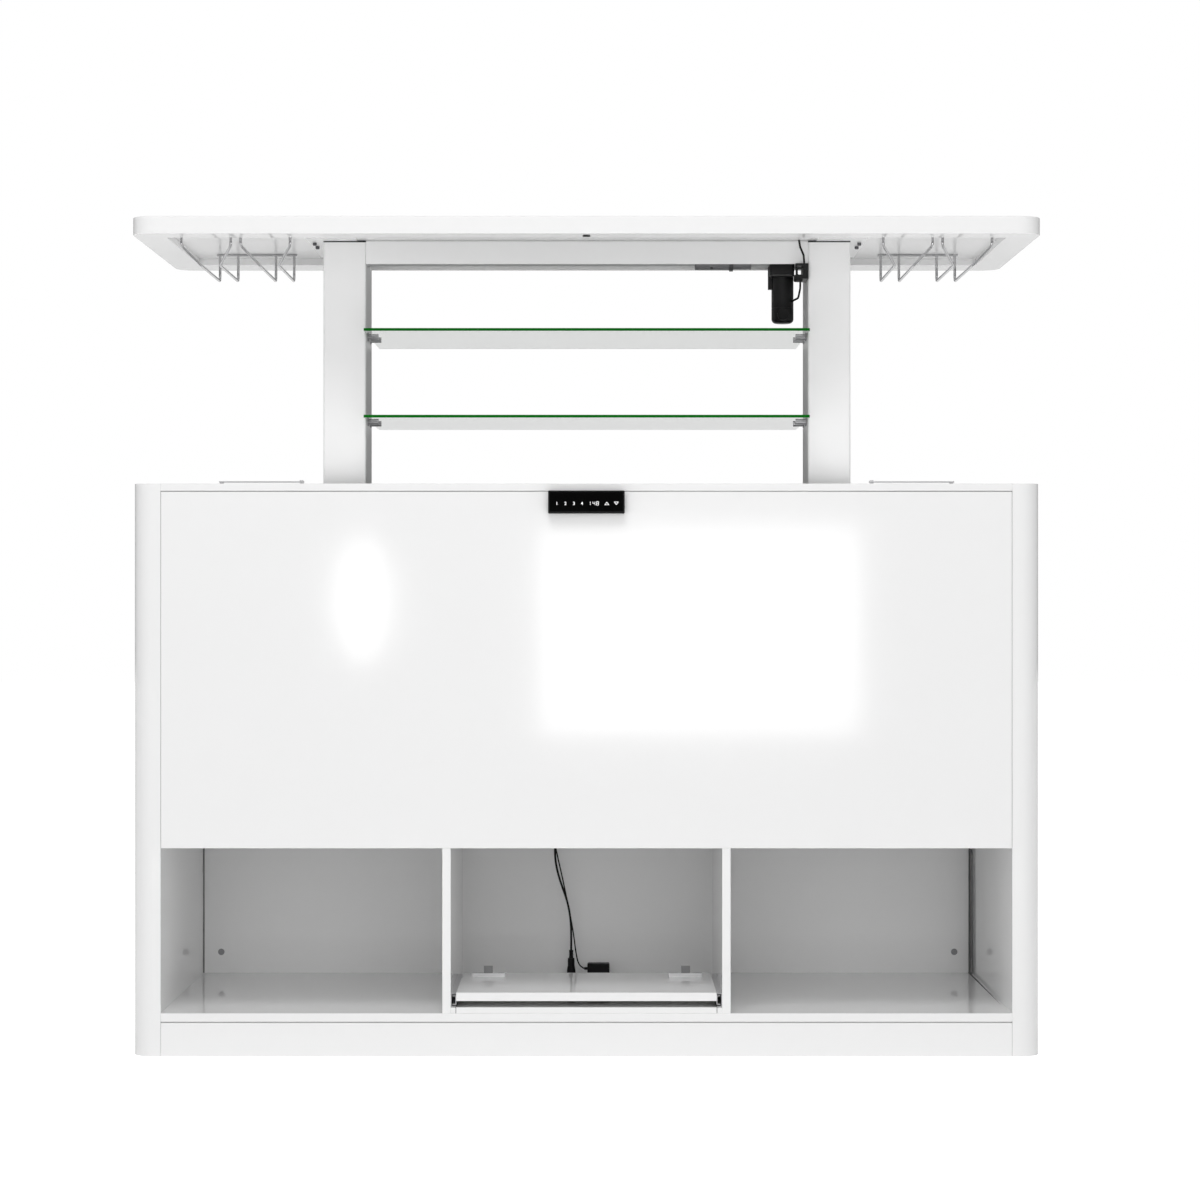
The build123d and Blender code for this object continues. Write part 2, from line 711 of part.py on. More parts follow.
def motor():
    """Worm gearbox that reaches up into the beam, with the motor can under it."""
    box = block(
        (motor_left, motor_right),
        (shaft_depth - MOTOR_BOX_DEPTH / 2, shaft_depth + MOTOR_BOX_DEPTH / 2),
        (motor_box_bottom, motor_box_top),
    )
    box = fillet(box.edges().filter_by(Axis.Z) + box.edges().group_by(Axis.Z)[0], MOTOR_BOX_EDGE)
    can = post(can_centre, shaft_depth, CAN_DIAMETER, (can_bottom, motor_box_bottom + OVERRUN))
    can = fillet(can.edges().group_by(Axis.Z)[0], CAN_END_RADIUS)
    seam_height = can_bottom + CAN_SEAM_HEIGHT
    seam = Pos(can_centre, at_depth(shaft_depth), seam_height) * (
        Cylinder(CAN_DIAMETER, CAN_SEAM) - Cylinder(CAN_DIAMETER / 2 - CAN_SEAM, CAN_SEAM)
    )
    can_front = shaft_depth - CAN_DIAMETER / 2
    cap = along_depth(
        CAN_CAP_DIAMETER, can_centre, (can_front - CAN_CAP_REACH, shaft_depth), can_bottom + CAN_CAP_HEIGHT
    )
    cap = fillet(cap.edges().group_by(Axis.Y)[0], CAN_CAP_REACH / 2)
    rib = block(
        (motor_left - MOTOR_RIB_REACH, can_centre),
        (shaft_depth - MOTOR_RIB_WIDTH / 2, shaft_depth + MOTOR_RIB_WIDTH / 2),
        (beam_bottom - MOTOR_RIB_LENGTH, beam_bottom),
    )
    bore = along_x(
        shaft_across_corners + 2 * RUNNING_CLEARANCE,
        (motor_left - MOTOR_RIB_REACH - OVERRUN, motor_right + OVERRUN),
        shaft_depth,
        shaft_height,
    )
    return box + (can - seam) + cap + rib - bore


def motor_bracket():
    """Bracket under the beam: a slotted front plate, a leg on the post and the gland of the motor's lead."""
    plate = block(
        (motor_right, post_inner), (bracket_front, bracket_front + BRACKET_WALL), (bracket_bottom, beam_bottom)
    )
    through = (bracket_front - OVERRUN, bracket_front + BRACKET_WALL + OVERRUN)
    leg_inner = post_inner - BRACKET_LEG
    slot_top = beam_bottom - BRACKET_SLOT_DROP
    slot = block((motor_right + BRACKET_SLOT, leg_inner), through, (slot_top - BRACKET_SLOT, slot_top))
    window_top = beam_bottom - BRACKET_WINDOW_DROP
    window = block(
        (leg_inner - BRACKET_WINDOW, leg_inner), through, (window_top - BRACKET_WINDOW, window_top)
    )
    window = fillet(window.edges().filter_by(Axis.Y), BRACKET_WINDOW_RADIUS)
    leg = block(
        (leg_inner, post_inner), (bracket_front, bracket_front + BRACKET_DEPTH), (bracket_bottom, beam_bottom)
    )
    gland = post(gland_x, gland_depth, GLAND_DIAMETER, (gland_bottom, gland_bottom + GLAND_HEIGHT))
    gland = fillet(gland.edges().group_by(Axis.Z)[0], GLAND_EDGE)
    return plate - slot - window + leg + gland


def motor_leads():
    """The supply lead down from the counter top to the bracket, and the short loop on to the motor."""
    lead_x = post_inner - BRACKET_LEG + LEAD_DIAMETER / 2
    clear = bracket_front - LEAD_DIAMETER / 2
    supply_points = [
        Vector(lead_x - LEAD_SLANT, at_depth(clear), ceiling - REVEAL),
        Vector(lead_x - LEAD_SLANT + LEAD_SWAY, at_depth(clear), ceiling - BEAM_HEIGHT / 3),
        Vector(lead_x - LEAD_SWAY / 2, at_depth(clear), beam_bottom + BEAM_HEIGHT / 3),
        Vector(lead_x, at_depth(bracket_front + LEAD_DIAMETER / 2), beam_bottom - LEAD_DIAMETER / 2),
    ]
    supply, _ = tube(supply_points, LEAD_DIAMETER, LEAD_BEND)
    start_x = gland_x + GLAND_DIAMETER / 2 - GLAND_EDGE - LEAD_DIAMETER / 2
    entry_height = gland_bottom - LEAD_ENTRY_DROP
    entry_depth = shaft_depth - LEAD_ENTRY_DEPTH
    loop_points = [
        Vector(start_x, at_depth(gland_depth), gland_bottom),
        Vector(start_x, at_depth(gland_depth + LEAD_DIAMETER), gland_bottom - LEAD_BEND),
        Vector(start_x - LEAD_SWAY, at_depth((gland_depth + entry_depth) / 2), entry_height + LEAD_DIAMETER),
        Vector(can_centre + CAN_DIAMETER / 2 - LEAD_DIAMETER, at_depth(entry_depth), entry_height),
    ]
    loop, _ = tube(loop_points, LEAD_DIAMETER, LEAD_BEND)
    return Compound([supply, loop])


def glass_shelf(drop):
    """Clear shelf that rests on four clips."""
    half = post_inner - SHELF_SIDE_GAP
    shelf = block((-half, half), (SHELF_FRONT, shelf_back), (ceiling - drop, ceiling - drop + GLASS))
    return fillet(shelf.edges().filter_by(Axis.Z), GLASS_CORNER_RADIUS)


def shelf_clips():
    """Discs on the posts with a half-round arm under the glass."""
    clips = []
    for drop in (UPPER_SHELF_DROP, LOWER_SHELF_DROP):
        top = ceiling - drop
        for depth in CLIP_DEPTHS:
            disc = along_x(CLIP_DISC_DIAMETER, (post_inner - CLIP_DISC_THICKNESS, post_inner), depth, top)
            arm = block(
                (post_inner - CLIP_ARM_LENGTH, post_inner),
                (depth - CLIP_ARM_WIDTH / 2, depth + CLIP_ARM_WIDTH / 2),
                (top - CLIP_ARM_THICKNESS, top),
            )
            arm = fillet(arm.edges().filter_by(Axis.X).group_by(Axis.Z)[0], CLIP_ARM_WIDTH / 2 - REVEAL)
            clips += [mirrored(disc + arm, side) for side in SIDES.values()]
    return Compound(clips)


def stemware_rack(side):
    """Bent-wire rack: two open-mouthed channels between a front and a rear cross bar."""
    bar_height = ceiling - CROSS_BAR_DIAMETER / 2
    rear_reach = CHANNEL_HALF_WIDTH + CROSS_BAR_END
    rear_span = (channel_centres[-1] - rear_reach, channel_centres[0] + rear_reach)
    rear = along_x(CROSS_BAR_DIAMETER, rear_span, run_back, bar_height)
    front = along_x(CROSS_BAR_DIAMETER, (rack_inner, rack_outer), MOUTH_FRONT, bar_height)
    rack = rear + front
    for centre in channel_centres:
        for way in SIDES.values():
            mouth_x = centre + way * MOUTH_HALF_WIDTH
            run_x = centre + way * CHANNEL_HALF_WIDTH
            points = [
                Vector(mouth_x, at_depth(MOUTH_FRONT), bar_height),
                Vector(mouth_x, at_depth(MOUTH_FRONT), ceiling - MOUTH_DROP),
                Vector(run_x, at_depth(RUN_FRONT), ceiling - WIRE_DROP),
                Vector(run_x, at_depth(run_back), ceiling - WIRE_DROP),
                Vector(run_x, at_depth(run_back), bar_height),
            ]
            wire, _ = tube(points, WIRE_DIAMETER, [WIRE_BEND, MOUTH_BEND, WIRE_BEND])
            rack += wire
    return mirrored(rack, side)


def handset_case():
    """Rounded case on the service panel, just under the cabinet top."""
    case = block(
        (-HANDSET_WIDTH / 2, HANDSET_WIDTH / 2),
        (-HANDSET_CASE, 0),
        (top_board_bottom - HANDSET_HEIGHT, top_board_bottom),
    )
    case = fillet(case.edges().filter_by(Axis.Y), HANDSET_RADIUS)
    return fillet(case.faces().sort_by(Axis.Y)[0].edges(), HANDSET_FACE / 2)


def handset_face():
    """Flat gloss panel with the display and the touch keys."""
    face = block(
        (-HANDSET_WIDTH / 2 + HANDSET_BORDER, HANDSET_WIDTH / 2 - HANDSET_BORDER),
        (-HANDSET_CASE - HANDSET_FACE, -HANDSET_CASE),
        (top_board_bottom - HANDSET_HEIGHT + HANDSET_BORDER, top_board_bottom - HANDSET_BORDER),
    )
    face = fillet(face.edges().filter_by(Axis.Y), HANDSET_FACE_RADIUS)
    return fillet(face.faces().sort_by(Axis.Y)[0].edges(), HANDSET_FACE / 4)


def control_box():
    """Power supply and controller that stand on the deck, near the customer panel."""
    back = back_inside - CONTROL_BOX_BACK_GAP
    box = block(
        (CONTROL_BOX_START, CONTROL_BOX_START + CONTROL_BOX_LENGTH),
        (back - CONTROL_BOX_DEPTH, back),
        (deck_top, deck_top + CONTROL_BOX_HEIGHT),
    )
    return fillet(box.edges().filter_by(Axis.Z) + box.edges().group_by(Axis.Z)[-1], CONTROL_BOX_RADIUS)


def deck():
    """Board over the cubbies that carries the columns, with a hole for the cords."""
    board = block((-inner_half, inner_half), (BOARD, back_inside), (cubby_ceiling, deck_top))
    through = (cubby_ceiling - OVERRUN, deck_top + OVERRUN)
    hole = post(grommet_x, grommet_depth, GROMMET_DIAMETER - 2 * GROMMET_WALL, through)
    return board - hole


def cable_grommet():
    """Plug in the deck's cord hole, with a flange under the deck."""
    flange = post(grommet_x, grommet_depth, GROMMET_DIAMETER, (cubby_ceiling - GROMMET_FLANGE, cubby_ceiling))
    body = post(grommet_x, grommet_depth, GROMMET_DIAMETER - 2 * GROMMET_WALL, (cubby_ceiling, deck_top))
    return flange + body


def outer_slide(side):
    """C-shaped steel rail on the divider."""
    rail = block(
        (tray_half + SLIDE_SIDE_CLEARANCE, middle_half),
        (SLIDE_SETBACK, SLIDE_SETBACK + SLIDE_LENGTH),
        (slide_bottom, slide_top),
    )
    hollow = block(
        (tray_half - OVERRUN, middle_half - SLIDE_STEEL),
        (0, SLIDE_SETBACK + SLIDE_LENGTH + OVERRUN),
        (slide_bottom + SLIDE_STEEL, slide_top - SLIDE_STEEL),
    )
    return mirrored(rail - hollow, side)


def inner_slide(side):
    """Smaller rail on the tray's edge, facing the outer one."""
    half = INNER_SLIDE_HEIGHT / 2
    rail = block(
        (tray_half, tray_half + INNER_SLIDE_REACH),
        (SLIDE_SETBACK, SLIDE_SETBACK + SLIDE_LENGTH),
        (slide_middle - half, slide_middle + half),
    )
    hollow = block(
        (tray_half + SLIDE_STEEL, middle_half),
        (0, SLIDE_SETBACK + SLIDE_LENGTH + OVERRUN),
        (slide_middle - half + SLIDE_STEEL, slide_middle + half - SLIDE_STEEL),
    )
    return mirrored(rail - hollow, side)


def ball_retainers():
    """Retainer strips with their balls, above and below each inner rail."""
    low = INNER_SLIDE_HEIGHT / 2 + RETAINER_CLEARANCE
    high = SLIDE_HEIGHT / 2 - SLIDE_STEEL - RETAINER_CLEARANCE
    strip_middle = (low + high) / 2
    strip_half = (high - low) / 4
    inner = tray_half + SLIDE_STEEL + RETAINER_CLEARANCE
    start = SLIDE_SETBACK + TRAY_TRAVEL / 2 + RETAINER_END_GAP
    length = SLIDE_LENGTH - TRAY_TRAVEL - 2 * RETAINER_END_GAP
    pitch = length / BALL_COUNT
    strips = []
    for level in SIDES.values():
        centre = slide_middle + level * strip_middle
        strip = block(
            (inner, inner + RETAINER_WIDTH), (start, start + length), (centre - strip_half, centre + strip_half)
        )
        for n in range(BALL_COUNT):
            place = start + (n + 1 / 2) * pitch
            ball = Sphere((high - low) / 2)
            strip += Pos(inner + RETAINER_WIDTH / 2, at_depth(place), centre) * ball
        strips += [mirrored(strip, side) for side in SIDES.values()]
    return Compound(strips)


def tray_stops():
    """Two inverted-T stops on the tray: a round-ended bar with an upright tab."""
    middle = tray_depth - STOP_BACK_INSET - STOP_BAR_WIDTH / 2
    stops = []
    for side in SIDES.values():
        x = side * STOP_SPACING / 2
        bar = extrude(SlotOverall(STOP_BAR_LENGTH, STOP_BAR_WIDTH), STOP_BAR_HEIGHT)
        bar = Pos(x, at_depth(middle), tray_top) * bar
        tab = block(
            (x - STOP_TAB_WIDTH / 2, x + STOP_TAB_WIDTH / 2),
            (middle - STOP_TAB_THICKNESS / 2, middle + STOP_TAB_THICKNESS / 2),
            (tray_top, tray_top + STOP_HEIGHT),
        )
        stops.append(bar + tab)
    return Compound(stops)


def power_plug():
    """Moulded plug with a ribbed strain relief at its neck and a flared base."""
    x, depth, relief_top = POWER_ROUTE[-1]
    body_top = relief_top - RELIEF_LENGTH
    base = body_top - PLUG_BODY_LENGTH
    neck = body_top - PLUG_BASE_HEIGHT
    waist = base + PLUG_BASE_HEIGHT + PLUG_FLARE_LENGTH
    shoulder = base + PLUG_BASE_HEIGHT
    outline = Polyline(
        (0, base),
        (PLUG_BASE_DIAMETER / 2, base),
        (PLUG_BASE_DIAMETER / 2, shoulder),
        (PLUG_BODY_DIAMETER / 2, waist),
        (PLUG_BODY_DIAMETER / 2, neck),
        (PLUG_NECK_DIAMETER / 2, body_top),
        (RELIEF_DIAMETER / 2, body_top),
        (RELIEF_DIAMETER / 2, relief_top),
        (0, relief_top),
        close=True,
    )
    plug = revolve(Plane.XZ * make_face(outline), Axis.Z)
    pitch = RELIEF_RIB + RELIEF_GROOVE
    for n in range(int((RELIEF_LENGTH - RELIEF_RIB) / pitch)):
        low = body_top + RELIEF_RIB + n * pitch
        core = Cylinder(RELIEF_DIAMETER / 2 - RELIEF_GROOVE, RELIEF_GROOVE)
        ring = Cylinder(RELIEF_DIAMETER, RELIEF_GROOVE) - core
        plug -= Pos(0, 0, low + RELIEF_GROOVE / 2) * ring
    return Pos(x, at_depth(depth), 0) * plug


def plug_prongs():
    """Two round pins under the plug."""
    x, depth, relief_top = POWER_ROUTE[-1]
    base = relief_top - RELIEF_LENGTH - PLUG_BODY_LENGTH
    prong = post(x + PRONG_SPACING / 2, depth, PRONG_DIAMETER, (base - PRONG_LENGTH, base))
    prong = fillet(prong.edges().group_by(Axis.Z)[0], PRONG_DIAMETER / 4)
    return Compound([prong, Pos(-PRONG_SPACING, 0, 0) * prong])


def adapter_box():
    """Small power adapter on the floor of the middle bay, with the relief of its lead."""
    x, depth, height = ADAPTER_ROUTE[-1]
    start = x + ADAPTER_RELIEF_LENGTH
    box = block(
        (start, start + ADAPTER_LENGTH),
        (depth - ADAPTER_DEPTH / 2, depth + ADAPTER_DEPTH / 2),
        (cubby_floor, cubby_floor + ADAPTER_HEIGHT),
    )
    box = fillet(box.edges().filter_by(Axis.Z) + box.edges().group_by(Axis.Z)[-1], ADAPTER_RADIUS)
    return box + along_x(ADAPTER_RELIEF_DIAMETER, (x, start + ADAPTER_RADIUS), depth, height)


nodes = {
    "top_board": top_board(),
    "service_panel": eased(block(panel_span, (0, BOARD), (cubby_ceiling, top_board_bottom - TOP_GROOVE))),
    "customer_panel": block(panel_span, (back_inside, CABINET_DEPTH), (PLINTH_HEIGHT, top_board_bottom)),
    "top_rail": block(
        (-inner_half, inner_half),
        (BOARD, BOARD + TOP_RAIL),
        (top_board_bottom - TOP_RAIL_HEIGHT, top_board_bottom),
    ),
    "deck": deck(),
    "floor_board": eased(block((-inner_half, inner_half), (0, back_inside), (PLINTH_HEIGHT, cubby_floor))),
    "plinth_service": plinth(0, BOARD, -OVERRUN, PLINTH_GROOVE_DEPTH),
    "plinth_customer": plinth(
        back_inside, CABINET_DEPTH, CABINET_DEPTH - PLINTH_GROOVE_DEPTH, CABINET_DEPTH + OVERRUN
    ),
    "middle_back": block(
        (-middle_half, middle_half), (MIDDLE_BAY_DEPTH, MIDDLE_BAY_DEPTH + BOARD), (cubby_floor, cubby_ceiling)
    ),
    "cam_covers": cam_covers(),
    "screw_nuts": screw_nuts(),
    "handset_case": handset_case(),
    "handset_face": handset_face(),
    "control_box": control_box(),
    "cable_grommet": cable_grommet(),
    "power_cord": cord("power_cord", POWER_ROUTE, CORD_DIAMETER),
    "power_plug": power_plug(),
    "plug_prongs": plug_prongs(),
    "adapter_lead": cord("adapter_lead", ADAPTER_ROUTE, ADAPTER_LEAD_DIAMETER),
    "adapter_box": adapter_box(),
    "counter_top": counter_top(),
    "cross_beam": cross_beam(),
    "drive_motor": motor(),
    "motor_bracket": motor_bracket(),
    "motor_leads": motor_leads(),
    "glass_shelf_upper": glass_shelf(UPPER_SHELF_DROP),
    "glass_shelf_lower": glass_shelf(LOWER_SHELF_DROP),
    "shelf_clips": shelf_clips(),
    "plate_screws": plate_screws(),
    "bumpers": bumpers(),
    "drive_shaft": drive_shaft(),
    "shaft_coupling": shaft_coupling(),
    "tray_base": eased(block((-tray_half, tray_half), (0, tray_depth), (cubby_floor, cubby_floor + TRAY_BASE))),
    "tray_board": eased(block((-tray_half, tray_half), (0, tray_depth), (tray_bottom, tray_top))),
    "tray_stops": tray_stops(),
    "ball_retainers": ball_retainers(),
}
for name, side in SIDES.items():
    nodes[f"end_panel_{name}"] = end_panel(side)
    nodes[f"divider_{name}"] = mirrored(
        eased(block((middle_half, middle_half + BOARD), (0, back_inside), (cubby_floor, cubby_ceiling))), side
    )
    nodes[f"side_back_{name}"] = side_back(side)
    nodes[f"rub_strip_{name}"] = rub_strip(side)
    nodes[f"inner_column_{name}"] = inner_column(side)
    nodes[f"post_cover_{name}"] = post_cover(side)
    nodes[f"mounting_plate_{name}"] = mounting_plate(side)
    nodes[f"bevel_box_{name}"] = bevel_box(side)
    nodes[f"lead_screw_{name}"] = lead_screw(side)
    nodes[f"stemware_rack_{name}"] = stemware_rack(side)
    nodes[f"outer_slide_{name}"] = outer_slide(side)
    nodes[f"inner_slide_{name}"] = inner_slide(side)

for name, shape in nodes.items():
    export_step(shape, f"parts/{name}.step")
print(len(nodes), "nodes, service face at y", service_y)
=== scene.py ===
# %% [markdown]
# A lift-top bar cabinet, raised, in white gloss lacquer.
#
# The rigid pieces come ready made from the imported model, at their real size and place. This script gives
# them their finishes, adds the marks on the handset, the soft cords and the small hardware, and lights
# the whole. Everything is in metres. +Y points away from the camera and the floor is at z = 0.

import math

import bmesh
import bpy
import numpy as np
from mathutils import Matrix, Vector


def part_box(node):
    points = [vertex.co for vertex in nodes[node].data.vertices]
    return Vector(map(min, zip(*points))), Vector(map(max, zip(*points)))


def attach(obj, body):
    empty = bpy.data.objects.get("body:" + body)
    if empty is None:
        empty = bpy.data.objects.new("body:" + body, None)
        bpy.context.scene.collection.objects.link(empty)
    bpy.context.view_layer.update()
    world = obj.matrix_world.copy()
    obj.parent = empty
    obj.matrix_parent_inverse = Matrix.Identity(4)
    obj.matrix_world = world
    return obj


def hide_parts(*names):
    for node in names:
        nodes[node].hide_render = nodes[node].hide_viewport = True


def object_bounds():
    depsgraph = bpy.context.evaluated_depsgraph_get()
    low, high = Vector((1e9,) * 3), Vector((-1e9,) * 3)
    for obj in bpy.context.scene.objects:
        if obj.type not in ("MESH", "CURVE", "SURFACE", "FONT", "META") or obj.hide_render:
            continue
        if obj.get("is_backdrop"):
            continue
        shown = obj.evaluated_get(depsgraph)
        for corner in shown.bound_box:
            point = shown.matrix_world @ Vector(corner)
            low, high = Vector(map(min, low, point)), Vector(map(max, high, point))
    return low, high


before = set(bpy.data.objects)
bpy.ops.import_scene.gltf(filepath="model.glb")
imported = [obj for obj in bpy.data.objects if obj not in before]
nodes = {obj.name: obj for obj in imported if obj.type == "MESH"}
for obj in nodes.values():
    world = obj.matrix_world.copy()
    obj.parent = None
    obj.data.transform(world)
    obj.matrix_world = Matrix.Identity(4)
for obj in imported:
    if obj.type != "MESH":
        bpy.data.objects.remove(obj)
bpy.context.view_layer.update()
MM = 0.001

# %% [markdown]
# The photograph looks straight along +Y, with the horizon in the middle of the picture. The height of the
# eye and its distance come from the height display, which reads 148, and from how fast the cubbies narrow
# with depth. The service face is the plane that everything is measured from, so the camera is placed
# from it.

# %% Camera
PHOTO_PIXELS = 1200
PIXEL_SIZE = 1.761 * MM  # width of one pixel on the service face
EYE_DISTANCE = 5.340
EYE_HEIGHT = 0.8039
EYE_RIGHT = 0.0239
SENSOR = 36.0
FARTHEST = 100

service_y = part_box("service_panel")[0].y
camera_data = bpy.data.cameras.new("camera")
camera_data.sensor_width = SENSOR
camera_data.sensor_fit = "HORIZONTAL"
camera_data.lens = SENSOR * EYE_DISTANCE / (PIXEL_SIZE * PHOTO_PIXELS)
camera_data.clip_end = FARTHEST
camera = bpy.data.objects.new("camera", camera_data)
camera.location = (EYE_RIGHT, service_y - EYE_DISTANCE, EYE_HEIGHT)
camera.rotation_euler = (math.pi / 2, 0, 0)
bpy.context.scene.collection.objects.link(camera)
bpy.context.scene.camera = camera
print("lens", round(camera_data.lens, 2), "mm, service face at y", round(service_y, 4))

# %% [markdown]
# Two cords hang in the middle bay: the power cord, which ends in its plug, and a thin lead that goes on
# to a small adapter. A cord is a curve with a round bevel. A NURBS spline of order 3 stays close to the
# points of its route but turns smoothly between them, as a flexible lead does. The points are real places
# in millimetres: x, distance behind the service face, and height. Their x and height are read in the
# photograph, and their distance is assumed.

# %% Cords
POWER_ROUTE = (
    (-61.5, 425.0, 363.5),
    (-62.2, 425.5, 334.0),
    (-60.4, 426.5, 301.0),
    (-51.6, 428.5, 268.0),
    (-38.6, 429.5, 233.0),
    (-32.0, 428.5, 199.0),
    (-30.6, 426.5, 167.0),
    (-30.9, 425.0, 138.5),
)
ADAPTER_ROUTE = (
    (-62.5, 412.0, 363.5),
    (-62.0, 412.3, 343.0),
    (-56.0, 413.2, 314.0),
    (-49.0, 414.4, 284.0),
    (-41.2, 415.4, 247.0),
    (-33.0, 415.7, 208.0),
    (-26.6, 415.2, 172.0),
    (-22.8, 414.2, 142.0),
    (-18.8, 413.5, 118.0),
    (-12.2, 413.1, 107.6),
    (-6.0, 413.0, 105.0),
)


def place(point):
    """A route's point in metres, in the frame."""
    x, depth, z = point
    return x * MM, service_y + depth * MM, z * MM


def hanging_cord(name, route, diameter):
    """A NURBS spline through the neighbourhood of the route's points, with a round bevel."""
    curve = bpy.data.curves.new(name, "CURVE")
    curve.dimensions = "3D"
    spline = curve.splines.new("NURBS")
    spline.points.add(len(route) - 1)
    for point, target in zip(spline.points, route):
        point.co = (*place(target), 1)
    spline.order_u = 3
    spline.use_endpoint_u = True
    spline.resolution_u = 12
    curve.bevel_depth = diameter / 2
    curve.bevel_resolution = 4
    curve.use_fill_caps = True
    obj = bpy.data.objects.new(name, curve)
    bpy.context.scene.collection.objects.link(obj)
    return obj


POWER_CORD_DIAMETER = 4.0 * MM
ADAPTER_LEAD_DIAMETER = 2.5 * MM

power_cord = hanging_cord("power_cord_flex", POWER_ROUTE, POWER_CORD_DIAMETER)
adapter_lead = hanging_cord("adapter_lead_flex", ADAPTER_ROUTE, ADAPTER_LEAD_DIAMETER)
for cord, node in ((power_cord, "power_cord"), (adapter_lead, "adapter_lead")):
    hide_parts(node)
    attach(cord, "cabinet")

# %% [markdown]
# A finish is a small graph of nodes. Written as Python expressions it reads like a formula, so one class
# wraps a socket and turns +, - and * into Math nodes. Any other node comes from one function that takes
# the node's type, its settings and what goes into its sockets.


# %% Shader expressions
class Shade:
    """A socket in a material's node tree, with arithmetic."""

    def __init__(self, tree, socket):
        self.tree = tree
        self.socket = socket

    def math(self, operation, other):
        """A Math node on this value and another."""
        out = node(self.tree, "ShaderNodeMath", {"operation": operation}, {0: self, 1: other})
        return Shade(self.tree, out.outputs[0])

    def reverse(self, operation, other):
        """A Math node with the other value first."""
        out = node(self.tree, "ShaderNodeMath", {"operation": operation}, {0: other, 1: self})
        return Shade(self.tree, out.outputs[0])

    def __add__(self, other):
        return self.math("ADD", other)

    def __sub__(self, other):
        return self.math("SUBTRACT", other)

    def __mul__(self, other):
        return self.math("MULTIPLY", other)

    __radd__ = __add__
    __rmul__ = __mul__

    def __rsub__(self, other):
        return self.reverse("SUBTRACT", other)


def feed(tree, socket, value):
    """Puts a value, or the link of an expression, into a socket. A colour may leave out its alpha."""
    if isinstance(value, Shade):
        tree.links.new(value.socket, socket)
    elif isinstance(value, tuple) and len(value) == 3 and socket.type == "RGBA":
        socket.default_value = (*value, 1)
    else:
        socket.default_value = value


def node(tree, kind, settings=None, inputs=None):
    """A node of that kind: its settings first, then the values or links of its sockets."""
    made = tree.nodes.new(kind)
    for name, value in (settings or {}).items():
        setattr(made, name, value)
    for key, value in (inputs or {}).items():
        feed(tree, made.inputs[key], value)
    return made


class Finish:
    """A material under construction: its tree, its shader and its output."""

    def __init__(self, name, **sockets):
        self.material = bpy.data.materials.new(name)
        self.material.use_nodes = True
        self.tree = self.material.node_tree
        self.shader = self.tree.nodes["Principled BSDF"]
        for key, value in sockets.items():
            self.set(key.replace("_", " ").title().replace("Ior", "IOR"), value)

    def set(self, key, value):
        """One socket of the shader, from a value or an expression."""
        feed(self.tree, self.shader.inputs[key], value)

    def make(self, kind, output=0, settings=None, inputs=None):
        """One more node; what comes out of it as an expression."""
        made = node(self.tree, kind, settings, inputs)
        return Shade(self.tree, made.outputs[output])

    def object_place(self, stretch=(1, 1, 1)):
        """Place on the piece in metres, stretched along its axes."""
        place_on = self.make("ShaderNodeTexCoord", "Object")
        return self.make("ShaderNodeMapping", 0, {}, {"Vector": place_on, "Scale": stretch})

    def place_along(self, axis):
        """One part, X, Y or Z, of the place on the piece, in metres."""
        place_on = self.make("ShaderNodeTexCoord", "Object")
        return self.make("ShaderNodeSeparateXYZ", axis, {}, {0: place_on})

    def facing(self, axis):
        """How far the surface faces along an axis, from -1 to 1."""
        normal = self.make("ShaderNodeNewGeometry", "True Normal")
        return self.make("ShaderNodeSeparateXYZ", axis, {}, {0: normal})

    def noise(self, scale, detail=2.0, stretch=(1, 1, 1)):
        """Soft random values from 0 to 1."""
        return self.make(
            "ShaderNodeTexNoise",
            "Fac",
            {},
            {"Vector": self.object_place(stretch), "Scale": scale, "Detail": detail},
        )

    def mix(self, factor, first, second):
        """A colour between two."""
        made = node(self.tree, "ShaderNodeMix", {"data_type": "RGBA"}, {"Factor": factor})
        for socket, value in zip([s for s in made.inputs if s.type == "RGBA"], (first, second)):
            feed(self.tree, socket, value)
        colour = [s for s in made.outputs if s.type == "RGBA"][0]
        return Shade(self.tree, colour)

    def bump(self, height, strength, distance):
        """Fine relief from an expression."""
        relief = self.make(
            "ShaderNodeBump", 0, {}, {"Height": height, "Strength": strength, "Distance": distance}
        )
        self.set("Normal", relief)

    def give(self, *pieces):
        """Puts the finish on pieces or on nodes by name."""
        for piece in pieces:
            obj = nodes[piece] if isinstance(piece, str) else piece
            obj.data.materials.clear()
            obj.data.materials.append(self.material)


# %% [markdown]
# The boards are lacquered to a mirror-like white. Real gloss lacquer isn't perfectly flat: it keeps a
# faint orange peel, and its sheen changes slightly from place to place. So the white stays almost even,
# the roughness wanders around a low value, and a very shallow bump with ripples about a centimetre across
# bends the reflections. The large outer panels and the top board are a little softer in their gloss. The
# ceiling of the counter top's recess mirrors little in the photograph, so a mask of what faces down and
# lies that high makes it dull. The back of the middle bay is a darker white, also as photographed: that
# is painted shade, for the shade that falls deep in that bay.

# %% White lacquer
WHITE = (0.9, 0.9, 0.9)
# The bay's darker white is painted shade, for the shade deep in the middle bay.
BAY_PAINTED_SHADE_WHITE = (0.79, 0.79, 0.79)
CLOUD_DEPTH = 0.01  # how much darker the clouds in the white are, as a share
BOARD_ROUGHNESS = 0.015
PANEL_ROUGHNESS = 0.1
ROUGHNESS_WANDER = 0.3  # share of the roughness that comes and goes
RECESS_DULLNESS = 0.22
FACING_DOWN = -0.5
PEEL_SCALE = 90  # ripples of orange peel to a metre
PEEL_STRENGTH = 0.0005
PEEL_HEIGHT = 0.4 * MM


def darker(colour, share):
    """A colour with a share of it taken off."""
    return tuple(c * (1 - share) for c in colour)


